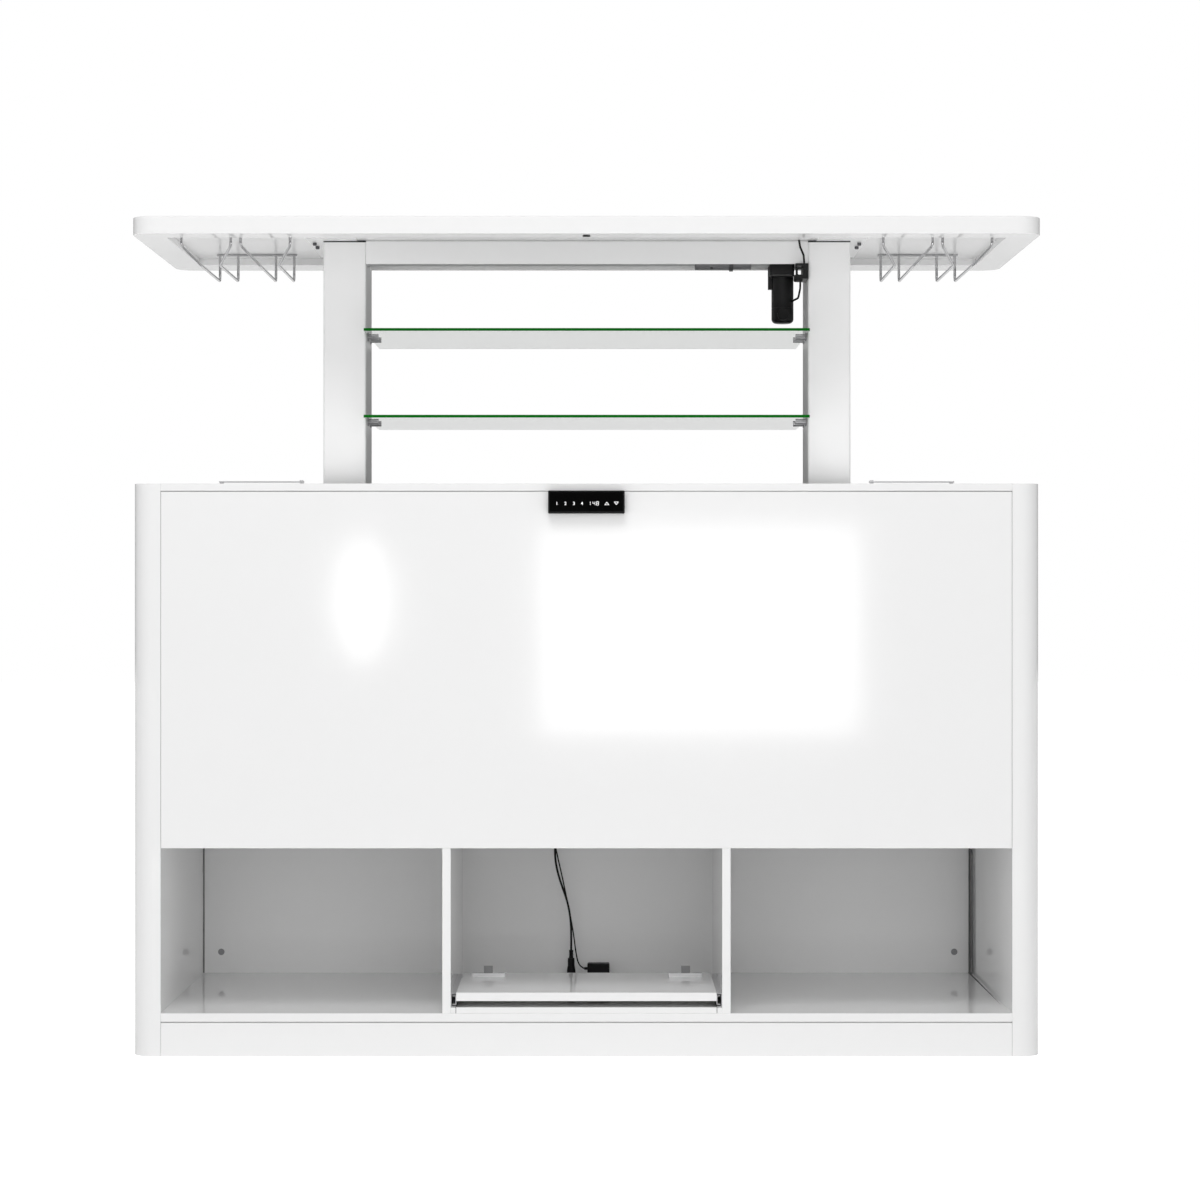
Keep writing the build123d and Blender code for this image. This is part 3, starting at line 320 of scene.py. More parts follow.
def white_lacquer(name, white, smoothest, dull=None):
    """High-gloss white lacquer with a faint orange peel, and a mask where it is dull."""
    finish = Finish(name, specular_ior_level=0.5, ior=1.5)
    finish.set("Base Color", finish.mix(finish.noise(2.5, 2), darker(white, CLOUD_DEPTH), white))
    roughness = smoothest + finish.noise(9, 3) * smoothest * ROUGHNESS_WANDER
    if dull is not None:
        roughness = roughness + dull(finish) * RECESS_DULLNESS
    finish.set("Roughness", roughness)
    finish.bump(finish.noise(PEEL_SCALE, 1), PEEL_STRENGTH, PEEL_HEIGHT)
    return finish


def recess_ceiling(finish):
    """1 on what faces down at the height of the beam's top, and 0 elsewhere."""
    down = finish.facing("Z").math("LESS_THAN", FACING_DOWN)
    return down * finish.place_along("Z").math("GREATER_THAN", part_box("cross_beam")[1].z - MM)


panel_lacquer = white_lacquer("white_panel_lacquer", WHITE, PANEL_ROUGHNESS)
panel_lacquer.give("service_panel", "customer_panel", "top_board")
board_lacquer = white_lacquer("white_board_lacquer", WHITE, BOARD_ROUGHNESS)
board_lacquer.give(
    "plinth_service",
    "plinth_customer",
    "end_panel_left",
    "end_panel_right",
    "tray_board",
    "tray_base",
    "divider_left",
    "divider_right",
    "floor_board",
)
counter_lacquer = white_lacquer("white_counter_lacquer", WHITE, BOARD_ROUGHNESS, recess_ceiling)
counter_lacquer.give("counter_top")
inside = white_lacquer("white_inside_lacquer", WHITE, BOARD_ROUGHNESS)
inside.give("top_rail", "deck", "side_back_left", "side_back_right")
# Painted shade: the middle bay's back is a darker white for the shade that falls there.
bay_back_painted_shade = white_lacquer("white_bay_lacquer_painted_shade", BAY_PAINTED_SHADE_WHITE, BOARD_ROUGHNESS)
bay_back_painted_shade.give("middle_back")

# %% [markdown]
# The posts, the beam and the plates have a white powder coat. Powder coat is satin and has a fine, even
# texture, so its bump is finer and stronger than the lacquer's and its roughness is higher. The pieces
# inside the posts and the shaft's coupling are coated grey, and the motor and its bracket black.

# %% Coated steel
COAT_GREY = (0.2, 0.2, 0.21)
COAT_BLACK = (0.005, 0.005, 0.0055)
COLLAR_GREY = (0.07, 0.07, 0.075)
COLLAR_FROM_END = 63.0 * MM
COLLAR_LENGTH = 7.5 * MM
GREY_ROUGHNESS = 0.38
GRAIN_SCALE = 1400  # grains of powder coat to a metre
GRAIN_HEIGHT = 0.2 * MM


def powder_coat(name, colour, roughness, grain=0.12):
    """Satin powder coat on steel, with a fine even texture."""
    finish = Finish(name, specular_ior_level=0.5)
    finish.set("Base Color", finish.mix(finish.noise(4, 1), darker(colour, 0.005), colour))
    finish.set("Roughness", roughness + finish.noise(8, 1) * 0.02)
    finish.bump(finish.noise(GRAIN_SCALE, 2), grain, GRAIN_HEIGHT)
    return finish


def coupling_grey():
    """Grey coat on the coupling, darker on the collar between its body and its sleeve."""
    finish = powder_coat("coupling_grey_coat", COAT_GREY, GREY_ROUGHNESS)
    across = finish.place_along("X")
    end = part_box("shaft_coupling")[0].x + COLLAR_FROM_END
    on_collar = across.math("GREATER_THAN", end) * across.math("LESS_THAN", end + COLLAR_LENGTH)
    finish.set("Base Color", finish.mix(on_collar, COAT_GREY, COLLAR_GREY))
    return finish


post_coat = powder_coat("white_powder_coat", WHITE, roughness=0.3, grain=0.03)
post_coat.give("post_cover_left", "post_cover_right", "cross_beam")
post_coat.give("mounting_plate_left", "mounting_plate_right")
grey_coat = powder_coat("grey_powder_coat", COAT_GREY, GREY_ROUGHNESS)
grey_coat.give("inner_column_left", "inner_column_right", "bevel_box_left", "bevel_box_right")
coupling_grey().give("shaft_coupling")
black_coat = powder_coat("black_powder_coat", COAT_BLACK, roughness=0.36, grain=0.1)
black_coat.give("drive_motor", "motor_bracket")

# %% [markdown]
# Bare metals differ by their grain. The rack wire is satin chrome and wanders only a little in roughness.
# The slides and strips are zinc plated or brushed, with streaks along their length, which come from a
# noise that is stretched hard along one axis. The plate screws and the clips are darker. What looks pale
# in the photograph is only part metallic, so that it mirrors less of the dark room.

# %% Bare metals
METAL_BUMP = 0.05
METAL_RELIEF = 0.1 * MM


def metal(name, colour, roughness, spread, stretch=(1, 1, 1), scale=60, metallic=1.0):
    """Metal with streaks or clouds in its roughness and colour. The roughness goes up from its least
    value by the spread, and the noise is stretched along the axes."""
    finish = Finish(name, metallic=metallic)
    streak = finish.noise(scale, 3, stretch)
    finish.set("Base Color", finish.mix(streak, darker(colour, 0.1), colour))
    finish.set("Roughness", roughness + streak * spread)
    finish.bump(streak, METAL_BUMP, METAL_RELIEF)
    return finish


chrome = metal("satin_chrome_wire", (0.62, 0.62, 0.63), roughness=0.12, spread=0.05, metallic=0.82)
chrome.give("stemware_rack_left", "stemware_rack_right")
slide_steel = metal(
    "zinc_slide_steel", (0.6, 0.6, 0.61), 0.3, 0.16, stretch=(30, 1, 30), scale=40, metallic=0.5
)
slide_steel.give("outer_slide_left", "outer_slide_right", "inner_slide_left", "inner_slide_right")
slide_steel.give("ball_retainers")
bright_steel = metal(
    "brushed_bright_steel", (0.8, 0.8, 0.81), 0.3, 0.12, stretch=(1, 40, 40), scale=30, metallic=0.35
)
bright_steel.give("rub_strip_left", "rub_strip_right", "plug_prongs", "drive_shaft")
screw_steel = metal("oiled_screw_steel", (0.42, 0.42, 0.43), 0.25, 0.15, stretch=(1, 1, 60), scale=30)
screw_steel.give("lead_screw_left", "lead_screw_right")
dark_steel = metal("dark_plated_steel", (0.16, 0.16, 0.17), roughness=0.3, spread=0.12)
dark_steel.give("plate_screws")
clip_steel = metal("bright_clip_steel", (0.36, 0.36, 0.37), 0.22, 0.2, stretch=(8, 60, 60), metallic=0.6)
clip_steel.give("shelf_clips")
bronze = metal("bronze_nut", (0.55, 0.36, 0.14), roughness=0.3, spread=0.12)
bronze.give("screw_nuts")

# %% [markdown]
# The tray's stops are plated steel too, but the photograph shows their tabs grey and their bars bright. A
# mask by height and by normal, matched to the photograph's tones, makes the difference. It paints light
# on one steel: the fronts of the bars get a painted highlight, and the tabs and level faces painted shade.

# %% Tray stops
STOP_BAR_HEIGHT = 7.0 * MM
STOP_PAINTED_HIGHLIGHT = (0.92, 0.92, 0.93)
STOP_PAINTED_SHADE = (0.28, 0.28, 0.285)
LEVEL_ENOUGH = 0.3


def tray_stop_painted_light():
    """Plated steel: a painted highlight on the bars' fronts, painted shade on the tabs and level faces."""
    finish = metal("tray_stop_painted_light", STOP_PAINTED_HIGHLIGHT, roughness=0.16, spread=0.06, metallic=0.12)
    bar_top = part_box("tray_stops")[0].z + STOP_BAR_HEIGHT
    tab_shade_mask = finish.place_along("Z").math("GREATER_THAN", bar_top)
    up = finish.facing("Z")
    level = (up * up).math("GREATER_THAN", LEVEL_ENOUGH)
    # Painted light: highlight and shade colours on one steel, chosen by height and by facing.
    finish.set("Base Color", finish.mix(tab_shade_mask.math("MAXIMUM", level), STOP_PAINTED_HIGHLIGHT, STOP_PAINTED_SHADE))
    return finish


tray_stop_painted_light().give("tray_stops")

# %% [markdown]
# The plastics are moulded: a matt black one with a fine spark texture for the cases, a gloss black one
# for the front of the handset, and a grey one for the cam covers. Rubber is duller still.

# %% Plastics and rubber
SPARK_SCALE = 900  # grains of spark texture to a metre
SPARK_HEIGHT = 0.2 * MM


def moulded(name, colour, roughness, grain=0.2):
    """Moulded plastic or rubber with a fine spark texture."""
    finish = Finish(name, specular_ior_level=0.2)
    finish.set("Base Color", finish.mix(finish.noise(20, 2), darker(colour, 0.2), colour))
    finish.set("Roughness", roughness + finish.noise(40, 2) * 0.1)
    finish.bump(finish.noise(SPARK_SCALE, 2), grain, SPARK_HEIGHT)
    return finish


black_plastic = moulded("moulded_black_plastic", (0.004, 0.004, 0.0045), 0.42)
black_plastic.give("handset_case", "control_box", "adapter_box", "power_plug")
black_gloss = moulded("gloss_black_face", (0.002, 0.002, 0.002), roughness=0.0, grain=0.0)
black_gloss.give("handset_face")
rubber = moulded("soft_black_rubber", (0.003, 0.003, 0.003), 0.55)
rubber.give("cable_grommet", "motor_leads", "bumpers", power_cord, adapter_lead)
grey_plastic = moulded("grey_cover_plastic", (0.33, 0.33, 0.34), 0.4)
grey_plastic.give("cam_covers")

# %% [markdown]
# Float glass is clear through its faces and deep green through its edges, because light that leaves by an
# edge has come a long way through it. The faces are a transmitting shader. The edges get a green one, and
# the mask between them is how far the surface is from level, which belongs to the piece and not to the
# camera.

# %% Glass
GLASS_TINT = (0.54, 0.56, 0.545)
GLASS_IOR = 1.5
EDGE_GREEN = (0.002, 0.12, 0.006)
EDGE_ROUGHNESS = 0.12
EDGE_SPECULAR = 0.15


def float_glass():
    """Clear faces and green edges."""
    finish = Finish("float_glass", base_color=GLASS_TINT, roughness=0.0, ior=GLASS_IOR)
    finish.set("Transmission Weight", 1.0)
    faces = Shade(finish.tree, finish.shader.outputs[0])
    edge = {"Base Color": EDGE_GREEN, "Roughness": EDGE_ROUGHNESS, "Specular IOR Level": EDGE_SPECULAR}
    edges = finish.make("ShaderNodeBsdfPrincipled", 0, {}, edge)
    up = finish.facing("Z")
    mixed = finish.make("ShaderNodeMixShader", 0, {}, {0: 1.0 - up * up, 1: faces, 2: edges})
    feed(finish.tree, finish.tree.nodes["Material Output"].inputs["Surface"], mixed)
    return finish


glass = float_glass()
glass.give("glass_shelf_upper", "glass_shelf_lower")

# %% [markdown]
# The handset shows four memory keys, the height in centimetres and two arrows on its gloss front. They
# are real flat shapes, a tenth of a millimetre proud, so they stay sharp from close by. The key digits
# are text that is turned into a mesh. The display's digits are built from the seven bars that such a
# display has, and the arrows are triangles with a triangular hole.

# %% Handset marks
MARK_HEIGHT = 5.4 * MM
MARK_PROUD = 0.12 * MM
MARK_DROP = 2.5 * MM
CAP_SHARE = 0.7  # height of a digit over the size of its text
STROKE_SHARE = 0.01  # how much a digit's outline is grown, over the size of its text
KEY_PLACES = {"1": -51.9 * MM, "2": -36.8 * MM, "3": -21.9 * MM, "4": -7.7 * MM}
DISPLAY_CENTRE = 13.2 * MM
DISPLAY_PITCH = 6.3 * MM
DIGIT_WIDTH = 3.8 * MM
DIGIT_HEIGHT = 6.4 * MM
BAR_WIDTH = 0.75 * MM
BAR_GAP = 0.15 * MM
ARROW_PLACES = {"up": 35.9 * MM, "down": 52.6 * MM}
ARROW_WIDTH = 8.4 * MM
ARROW_HEIGHT = 5.6 * MM
ARROW_HOLE_SHARE = 0.62
PRINT_WHITE = (0.85, 0.86, 0.87)
PRINT_GLOW = 0.5

face_low, face_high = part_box("handset_face")
mark_x = (face_low.x + face_high.x) / 2
mark_z = (face_low.z + face_high.z) / 2 - MARK_DROP

white_print = Finish("white_key_print", base_color=PRINT_WHITE, roughness=0.35)
white_print.set("Emission Color", (1, 1, 1))
white_print.set("Emission Strength", PRINT_GLOW)


def piece(name, mesh, body, slot, finish):
    """An object for a mesh that is already in place, riding on a body."""
    obj = bpy.data.objects.new(name, mesh)
    bpy.context.scene.collection.objects.link(obj)
    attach(obj, body)
    finish.give(obj)
    return obj


def prisms(name, outlines):
    """Closed flat prisms on the handset's face. Each outline is a ring of (x, z) points, given clockwise
    as seen from the front. The front stands proud of the face, and the sides are quads down to it."""
    points, faces = [], []
    for outline in outlines:
        ring = np.array(outline, float)
        count, start = len(ring), len(points)
        for y in (face_low.y - MARK_PROUD, face_low.y):
            points += [(x + mark_x, y, z + mark_z) for x, z in ring]
        faces.append([start + i for i in reversed(range(count))])
        faces.append([start + count + i for i in range(count)])
        faces += [
            [start + i, start + (i + 1) % count, start + count + (i + 1) % count, start + count + i]
            for i in range(count)
        ]
    mesh = bpy.data.meshes.new(name)
    mesh.from_pydata(points, [], faces)
    mesh.update()
    return mesh


def key_digits():
    """The memory keys' digits: text turned up to face the user, its x kept and its y made height."""
    made = []
    for digit, x in KEY_PLACES.items():
        text = bpy.data.curves.new("key_" + digit, "FONT")
        text.body = digit
        text.size = MARK_HEIGHT / CAP_SHARE
        text.offset = text.size * STROKE_SHARE
        text.extrude = MARK_PROUD / 2
        text.align_x = "CENTER"
        flat = bpy.data.objects.new("key_" + digit, text)
        mesh = bpy.data.meshes.new_from_object(flat)
        bpy.data.objects.remove(flat)
        points = np.empty(len(mesh.vertices) * 3)
        mesh.vertices.foreach_get("co", points)
        points = points.reshape(-1, 3)
        placed = np.column_stack(
            [
                points[:, 0] + mark_x + x,
                face_low.y - MARK_PROUD / 2 - points[:, 2],
                points[:, 1] + mark_z - MARK_HEIGHT / 2,
            ]
        )
        mesh.vertices.foreach_set("co", placed.ravel())
        mesh.update()
        made.append(piece("handset_key_" + digit, mesh, "cabinet", "black_gloss", white_print))
    return made


def bar(x0, z0, x1, z1):
    """One bar of a seven-bar digit, from end to end, with pointed ends as a hexagon."""
    start, end = np.array([x0, z0]), np.array([x1, z1])
    along = (end - start) / np.linalg.norm(end - start)
    across = np.array([-along[1], along[0]]) * BAR_WIDTH / 2
    tip = along * BAR_WIDTH / 2
    a, b = start + along * BAR_GAP, end - along * BAR_GAP
    return [a, a + tip + across, b - tip + across, b, b - tip - across, a + tip - across]


def display_digit(centre, bars):
    """A digit from its lit bars: top, middle and bottom, the upper and lower sides, or the two down its
    centre."""
    left, right = centre - DIGIT_WIDTH / 2, centre + DIGIT_WIDTH / 2
    top, low = DIGIT_HEIGHT / 2, -DIGIT_HEIGHT / 2
    spans = {
        "top": (left, top, right, top),
        "middle": (left, 0, right, 0),
        "bottom": (left, low, right, low),
        "upper_left": (left, 0, left, top),
        "upper_right": (right, 0, right, top),
        "lower_left": (left, low, left, 0),
        "lower_right": (right, low, right, 0),
        "upper_centre": (centre, 0, centre, top),
        "lower_centre": (centre, low, centre, 0),
    }
    return [bar(*spans[name]) for name in bars]


ONE = ("upper_centre", "lower_centre")
FOUR = ("upper_left", "upper_right", "middle", "lower_right")
EIGHT = ("top", "middle", "bottom", "upper_left", "upper_right", "lower_left", "lower_right")

keys = key_digits()
display_bars = [
    ring
    for step, bars in zip((-1, 0, 1), (ONE, FOUR, EIGHT))
    for ring in display_digit(DISPLAY_CENTRE + step * DISPLAY_PITCH, bars)
]
display = prisms("handset_display", display_bars)
piece("handset_display", display, "cabinet", "black_gloss", white_print)


def arrow_sides(centre, way):
    """The three sides of a hollow triangle, each a ring of four corners between the outer and the inner
    triangle. Way is 1 where it points up and -1 where it points down."""
    outer = np.array([(-0.5, -0.5), (0, 0.5), (0.5, -0.5)]) * (ARROW_WIDTH, ARROW_HEIGHT * way)
    middle = outer.mean(axis=0)
    inner = middle + (outer - middle) * ARROW_HOLE_SHARE
    rings = []
    for i in range(3):
        j = (i + 1) % 3
        ring = [outer[i], outer[j], inner[j], inner[i]][::way]
        rings.append([(x + centre, z) for x, z in ring])
    return rings


arrows = arrow_sides(ARROW_PLACES["up"], 1) + arrow_sides(ARROW_PLACES["down"], -1)
piece("handset_arrows", prisms("handset_arrows", arrows), "cabinet", "black_gloss", white_print)
print("handset marks", len(keys), "keys,", len(display_bars), "bars,", len(arrows), "arrow sides")

# %% [markdown]
# Some small things are made here because the imported model leaves them out. Dark grey strips lie in the
# rear corners of the side cubbies and along the right floor edge: they are painted shade for the shade in
# those corners. A thin dark strip on each post's top, under the counter, is painted shade for the shadow
# gap there. A white rail lies under each slide, and a socket screw locks the shaft's coupling. Each is a
# skin over a stack of rings: two outlines make a bar, and a profile turned round an axis makes the screw.

# %% Skins and bars


def skin(name, rings):
    """A closed mesh from an array of rings (along, around, xyz): quads between neighbours, and a cap at
    each end."""
    along, around, _ = rings.shape
    index = np.arange(along * around).reshape(along, around)
    after = np.roll(index, -1, axis=1)
    quads = np.stack([index[:-1], after[:-1], after[1:], index[1:]], axis=-1).reshape(-1, 4)
    caps = [index[0, ::-1].tolist(), index[-1].tolist()]
    mesh = bpy.data.meshes.new(name)
    mesh.from_pydata(rings.reshape(-1, 3).tolist(), [], quads.tolist() + caps)
    shell = bmesh.new()
    shell.from_mesh(mesh)
    bmesh.ops.recalc_face_normals(shell, faces=shell.faces)
    shell.to_mesh(mesh)
    shell.free()
    return mesh


def bar_between(name, start, end, body, slot, finish):
    """A straight bar from one closed outline to another with as many points."""
    return piece(name, skin(name, np.array([start, end], float)), body, slot, finish)


def block_between(name, low, high, body, slot, finish):
    """A block between two corners, as a bar along X."""
    ring = [(low[1], low[2]), (high[1], low[2]), (high[1], high[2]), (low[1], high[2])]
    ends = [[(x, y, z) for y, z in ring] for x in (low[0], high[0])]
    return bar_between(name, *ends, body, slot, finish)


# %% [markdown]
# The corner shade is painted as dark strips, each a triangle in section. In the photograph the dark line on
# the right wall is much wider than the one on the left, and widest at the floor, so that leg is long and
# narrows upwards. The strip on the floor's edge thins out towards the front.

# %% Painted corner shade
CORNER_SHADE_GREY = (0.1, 0.1, 0.1)
CORNER_SHADE_LEG = 1.7 * MM
RIGHT_LEG_LOW = 24.0 * MM
RIGHT_LEG_HIGH = 14.0 * MM
FLOOR_SHADE_REAR = 2.6 * MM
FLOOR_SHADE_TIP = 0.2 * MM
FLOOR_SHADE_FRONT = 120 * MM  # from the service face

cubby_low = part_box("floor_board")[1].z
cubby_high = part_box("deck")[0].z
cubby_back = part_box("side_back_left")[0].y
left_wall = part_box("side_back_left")[0].x
right_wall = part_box("side_back_right")[1].x
# A dark grey finish for the painted corner shade.
corner_shade_finish = moulded("grey_painted_corner_shade", CORNER_SHADE_GREY, 0.5)


def corner_shade_strip(name, x, into, wall_leg_low, wall_leg_high):
    """Painted shade up the corner of a side cubby: a triangle with one leg on the back and one on the wall.
    """
    ends = [
        [(x, cubby_back, z), (x + into * CORNER_SHADE_LEG, cubby_back, z), (x, cubby_back - on_wall, z)]
        for z, on_wall in ((cubby_low, wall_leg_low), (cubby_high, wall_leg_high))
    ]
    return bar_between(name, *ends, "cabinet", "black_rubber", corner_shade_finish)


# Painted shade: dark strips in the cubbies' rear corners and along the right floor edge.
corner_shade_strip("corner_shade_left", left_wall, 1, CORNER_SHADE_LEG, CORNER_SHADE_LEG)
corner_shade_strip("corner_shade_right", right_wall, -1, RIGHT_LEG_LOW, RIGHT_LEG_HIGH)
floor_shade_ends = [
    [(right_wall, y, cubby_low), (right_wall - leg, y, cubby_low), (right_wall, y, cubby_low + leg)]
    for y, leg in ((cubby_back, FLOOR_SHADE_REAR), (service_y + FLOOR_SHADE_FRONT, FLOOR_SHADE_TIP))
]
bar_between("floor_shade_right", *floor_shade_ends, "cabinet", "black_rubber", corner_shade_finish)
print("corner height", round((cubby_high - cubby_low) / MM), "mm, walls at", left_wall, right_wall)

# %% [markdown]
# The posts' painted shade strips and the rails are blocks, placed from the posts' and the slides' boxes.

# %% Painted post shade and rails
POST_SHADE_INSET = 0.4 * MM
POST_SHADE_PROUD = 0.4 * MM
POST_SHADE_HEIGHT = 2.0 * MM
RAIL_CLEARANCE = 1.0 * MM

for side in ("left", "right"):
    low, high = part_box("post_cover_" + side)
    # Painted shade: a thin dark strip on the front of the post's top, for the shadow gap under the counter.
    block_between(
        "post_foam_" + side,
        (low.x + POST_SHADE_INSET, low.y - POST_SHADE_PROUD, high.z - POST_SHADE_HEIGHT),
        (high.x - POST_SHADE_INSET, low.y, high.z),
        "lift",
        "black_rubber",
        rubber,
    )
    slide_low, slide_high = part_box("outer_slide_" + side)
    block_between(
        "slide_rail_" + side,
        (slide_low.x, slide_low.y, cubby_low),
        (slide_high.x, slide_high.y, slide_low.z - RAIL_CLEARANCE),
        "cabinet",
        "white_lacquer",
        board_lacquer,
    )

# %% [markdown]
# The set screw sits in the coupling's round side, at an angle below the level towards the front. Its
# profile is a list of (radius, height) in millimetres, from its skirt over the chamfer to the floor of
# its socket.

# %% Set screw
SCREW_FROM_END = 30.5 * MM
COUPLING_RADIUS = 15.25 * MM
SCREW_ANGLE = math.radians(53)
SCREW_TURN = 24
SCREW_PROFILE = MM * np.array(
    [(2.4, -0.6), (2.4, 0.3), (2.1, 0.5), (1.3, 0.5), (1.2, -0.3), (0.05, -0.3)]
)


def turned(name, centre, axis, profile):
    """A profile of (radius, height) turned round an axis. A point is the centre, plus the axis times its
    height, plus its radius times u cos + v sin, where u and v are square to the axis."""
    axis = np.array(axis, float) / np.linalg.norm(axis)
    u = np.cross(axis, (1, 0, 0))
    v = np.cross(axis, u)
    angle = np.linspace(0, 2 * math.pi, SCREW_TURN, endpoint=False)
    around = np.outer(np.cos(angle), u) + np.outer(np.sin(angle), v)
    rings = profile[:, :1, None] * around + profile[:, 1:, None] * axis + np.array(centre)
    return skin(name, rings)


low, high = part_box("shaft_coupling")
facing = np.array([0, -math.cos(SCREW_ANGLE), -math.sin(SCREW_ANGLE)])
shaft_line = np.array([low.x + SCREW_FROM_END, (low.y + high.y) / 2, (low.z + high.z) / 2])
set_screw = turned("coupling_set_screw", shaft_line + facing * COUPLING_RADIUS, facing, SCREW_PROFILE)
piece("coupling_set_screw", set_screw, "cross_shaft", "grey_steel", black_coat)

# %% [markdown]
# The floor and the world are white for the camera and for what is seen through glass. In gloss they
# differ by direction, as in a real studio: the pale floor runs on behind the object under a grey wall,
# which gives round edges their thin dark outlines. In front of the object the room is dark, so black
# pieces stay black. For soft light the floor glows a little, as a lit floor does.

# %% Floor
FLOOR_HALF = 24.0
FLOOR_GLOW = 0.75
FLOOR_GLOSS_GLOW = 0.5
FLOOR_BOUNCE = 0.3
FLOOR_WHITE = (0.8, 0.8, 0.8)
FLOOR_FADE = 0.6  # to either side of the service face

floor_mesh = bpy.data.meshes.new("floor")
corners = np.array([(-1, -1, 0), (1, -1, 0), (1, 1, 0), (-1, 1, 0)], float) * FLOOR_HALF
floor_mesh.from_pydata([tuple(c) for c in corners], [], [(0, 1, 2, 3)])
floor = bpy.data.objects.new("floor", floor_mesh)
bpy.context.scene.collection.objects.link(floor)
floor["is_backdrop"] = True


def rays(tree):
    """What kind of ray asks: straight from the camera or through glass, and by way of gloss."""
    path = node(tree, "ShaderNodeLightPath")
    straight = Shade(tree, path.outputs["Is Camera Ray"])
    through = Shade(tree, path.outputs["Is Transmission Ray"])
    mirrored = Shade(tree, path.outputs["Is Glossy Ray"])
    seen = (straight + through).math("MINIMUM", 1.0)
    return seen, mirrored * (1.0 - seen)


def ramp(tree, value, start, end):
    """0 before start, 1 after end, and smooth between them."""
    made = node(
        tree,
        "ShaderNodeMapRange",
        {"interpolation_type": "SMOOTHSTEP"},
        {"Value": value, "From Min": start, "From Max": end},
    )
    return Shade(tree, made.outputs[0])


def part_of(tree, output, axis):
    """One part, X, Y or Z, of a place or a direction."""
    source = Shade(tree, node(tree, "ShaderNodeTexCoord").outputs[output])
    return Shade(tree, node(tree, "ShaderNodeSeparateXYZ", {}, {0: source}).outputs[axis])


pale = Finish("pale_floor", base_color=FLOOR_WHITE, roughness=0.9, specular_ior_level=0.0)
seen, glossy = rays(pale.tree)
fade = (service_y - FLOOR_FADE, service_y + FLOOR_FADE)
behind = ramp(pale.tree, part_of(pale.tree, "Object", "Y"), *fade)
pale.set("Emission Color", (1, 1, 1))
bounce = (1.0 - seen - glossy) * FLOOR_BOUNCE
pale.set("Emission Strength", seen * FLOOR_GLOW + glossy * behind * FLOOR_GLOSS_GLOW + bounce)
floor_mesh.materials.append(pale.material)

# %% [markdown]
# The world is split the same way. What gloss sees of it goes from dark in front to grey behind, and gets
# brighter overhead. The bounds of both changes are parts of a direction of length 1.

# %% World
AMBIENT = 0.4
FRONT_GLOSS = 0.06
BACK_GLOSS = 0.25
TOP_GLOSS = 0.5
BACK_FROM, BACK_TO = -0.25, 0.35
TOP_FROM, TOP_TO = 0.3, 0.7

world = bpy.data.worlds.new("studio")
bpy.context.scene.world = world
world.use_nodes = True
tree = world.node_tree
background = tree.nodes["Background"]
background.inputs["Color"].default_value = (1, 1, 1, 1)
seen, glossy = rays(tree)
to_back = ramp(tree, part_of(tree, "Generated", "Y"), BACK_FROM, BACK_TO) * (BACK_GLOSS - FRONT_GLOSS)
to_top = ramp(tree, part_of(tree, "Generated", "Z"), TOP_FROM, TOP_TO) * TOP_GLOSS
diffuse = 1.0 - seen - glossy
strength = seen + glossy * (to_back + to_top + FRONT_GLOSS) + diffuse * AMBIENT
tree.links.new(strength.socket, background.inputs["Strength"])

# %% [markdown]
# The light that falls on the object is soft: besides the pale world, one very wide softbox in front and
# one from above. Three kinds of fill stand for light that pale boards and a pale floor bounce, and are
# matched to the photograph's tones: a low softbox in front, a lamp just over the top board that shines up
# under the counter top, and a weak one in the mouth of each bay. None of these shows to the camera or in
# gloss. Two more lamps show in gloss only, and make the bright mirror images in the service panel.

# %% Lamps
LAMP_DISTANCE = 1.2  # of the mirrored lamps from the service face
FRONT_Y = service_y - 4.2
BOARD_GLOW_Y = -0.205
BAY_GLOW = 0.08
BAY_GLOW_DEPTH = 20 * MM
BAY_GLOW_SHARE = 0.9
ELLIPSE_SHARE = math.pi / 4  # of the rectangle round it


def softbox(name, centre, target, size, radiance, shape="RECTANGLE", mirrored=False):
    """An area lamp aimed at a point. Its power is its radiance times its area times pi. A mirrored one
    shows in gloss only, and any other one gives soft light only."""
    light = bpy.data.lights.new(name, "AREA")
    light.shape = shape
    light.size, light.size_y = size
    light.energy = radiance * math.pi * size[0] * size[1] * (ELLIPSE_SHARE if shape == "ELLIPSE" else 1)
    lamp = bpy.data.objects.new(name, light)
    lamp.location = centre
    away = np.array(centre) - np.array(target)
    yaw = math.atan2(away[0], -away[1])
    pitch = math.atan2(away[2], math.hypot(away[0], away[1]))
    lamp.rotation_euler = (math.pi / 2 - pitch, 0, yaw)
    lamp.visible_camera = False
    lamp.visible_glossy = mirrored
    lamp.visible_diffuse = not mirrored
    bpy.context.scene.collection.objects.link(lamp)
    print(name, "power", round(light.energy, 1), "W")
    return lamp


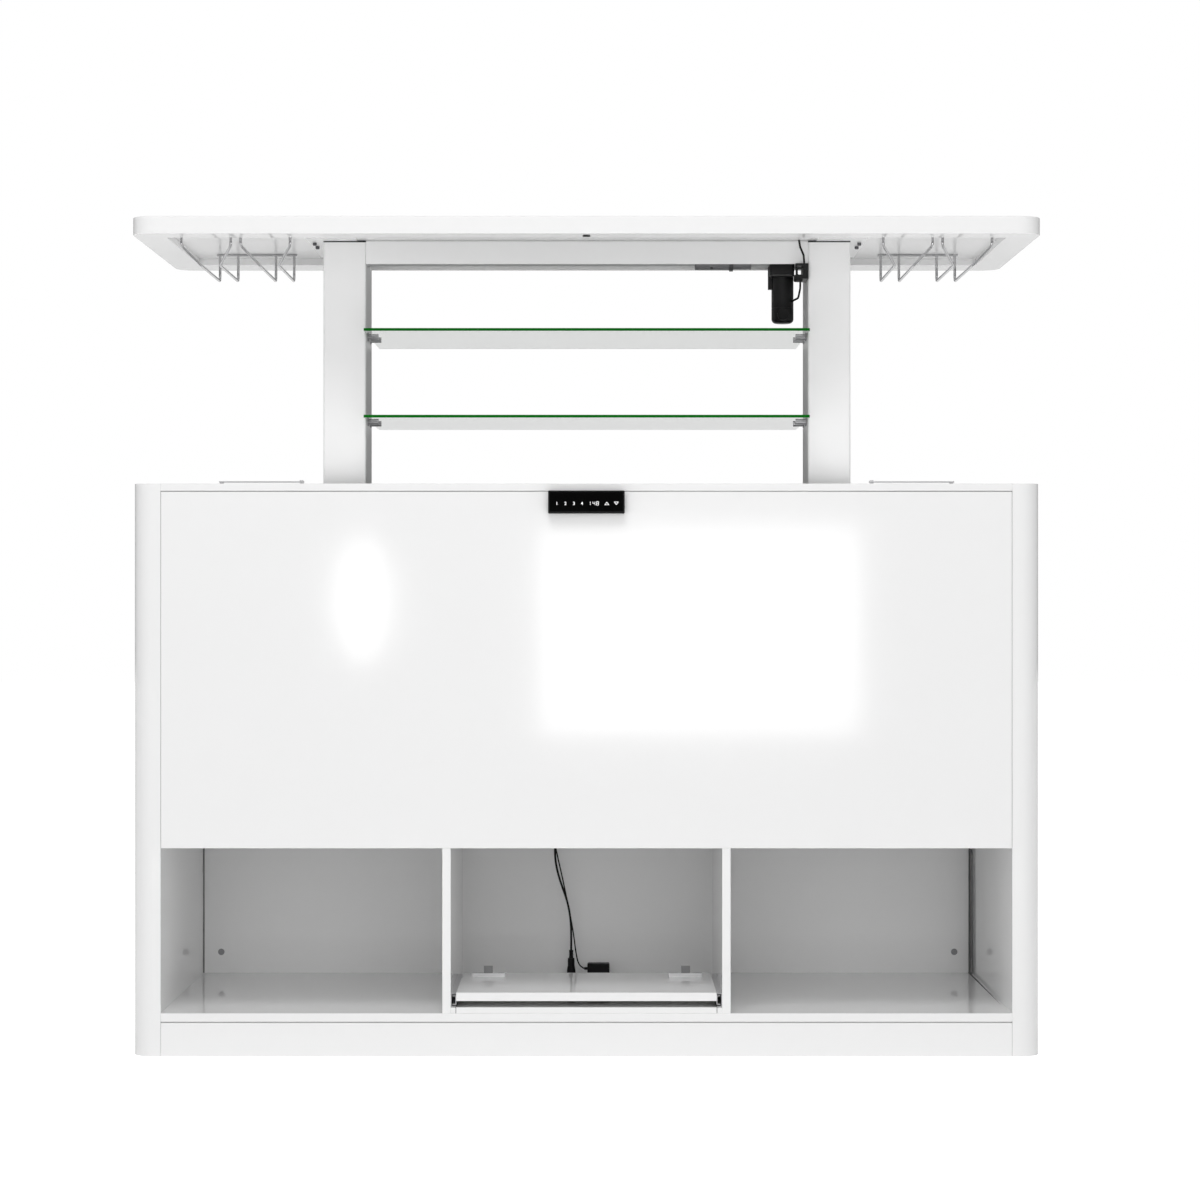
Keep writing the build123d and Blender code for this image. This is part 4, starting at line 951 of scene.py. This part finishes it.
def image_lamp(name, image, size, radiance, shape="RECTANGLE"):
    """A lamp whose mirror image in the service panel has this centre (x, z) and size. Lines from the eye
    spread as they go to the panel and back to the lamp, so everything grows by the length of the way
    over the eye's distance."""
    grow = (EYE_DISTANCE + LAMP_DISTANCE) / EYE_DISTANCE
    x = EYE_RIGHT + (image[0] - EYE_RIGHT) * grow
    z = EYE_HEIGHT + (image[1] - EYE_HEIGHT) * grow
    y = service_y - LAMP_DISTANCE
    return softbox(name, (x, y, z), (x, 0, z), (size[0] * grow, size[1] * grow), radiance, shape, True)


softbox("front_softbox", (0, FRONT_Y, 1.3), target=(0, 0, 1.3), size=(5.0, 3.0), radiance=1.2)
softbox("low_softbox", (0, FRONT_Y, 0.5), target=(0, 0, 0.5), size=(5.0, 0.9), radiance=0.35)
softbox("upper_softbox", (-0.5, -2.7, 4.9), target=(0, 0, 0.9), size=(2.6, 1.8), radiance=5.3)
softbox("board_glow", (0, BOARD_GLOW_Y, 1.02), (0, BOARD_GLOW_Y, 2.0), size=(1.5, 0.17), radiance=0.7)
left_divider, right_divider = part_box("divider_left"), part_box("divider_right")
bays = {
    "left": (left_wall, left_divider[0].x),
    "middle": (left_divider[1].x, right_divider[0].x),
    "right": (right_divider[1].x, right_wall),
}
bay_middle = (cubby_low + cubby_high) / 2
for name, (low, high) in bays.items():
    centre = ((low + high) / 2, service_y + BAY_GLOW_DEPTH, bay_middle)
    size = ((high - low) * BAY_GLOW_SHARE, (cubby_high - cubby_low) * BAY_GLOW_SHARE)
    softbox(name + "_bay_glow", centre, (centre[0], 0, bay_middle), size, BAY_GLOW)
image_lamp("round_lamp", image=(-0.395, 0.804), size=(0.107, 0.227), radiance=5.0, shape="ELLIPSE")
image_lamp("square_lamp", image=(0.2, 0.751), size=(0.567, 0.367), radiance=4.5)

bpy.context.scene.view_settings.view_transform = "Standard"

# %% [markdown]
# Last, the box of the dressed scene. It reaches a metre too far round the cords' points, because a
# curve's box counts the radius factor of its points, which is 1, as metres.

# %% Size after dressing
low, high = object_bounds()
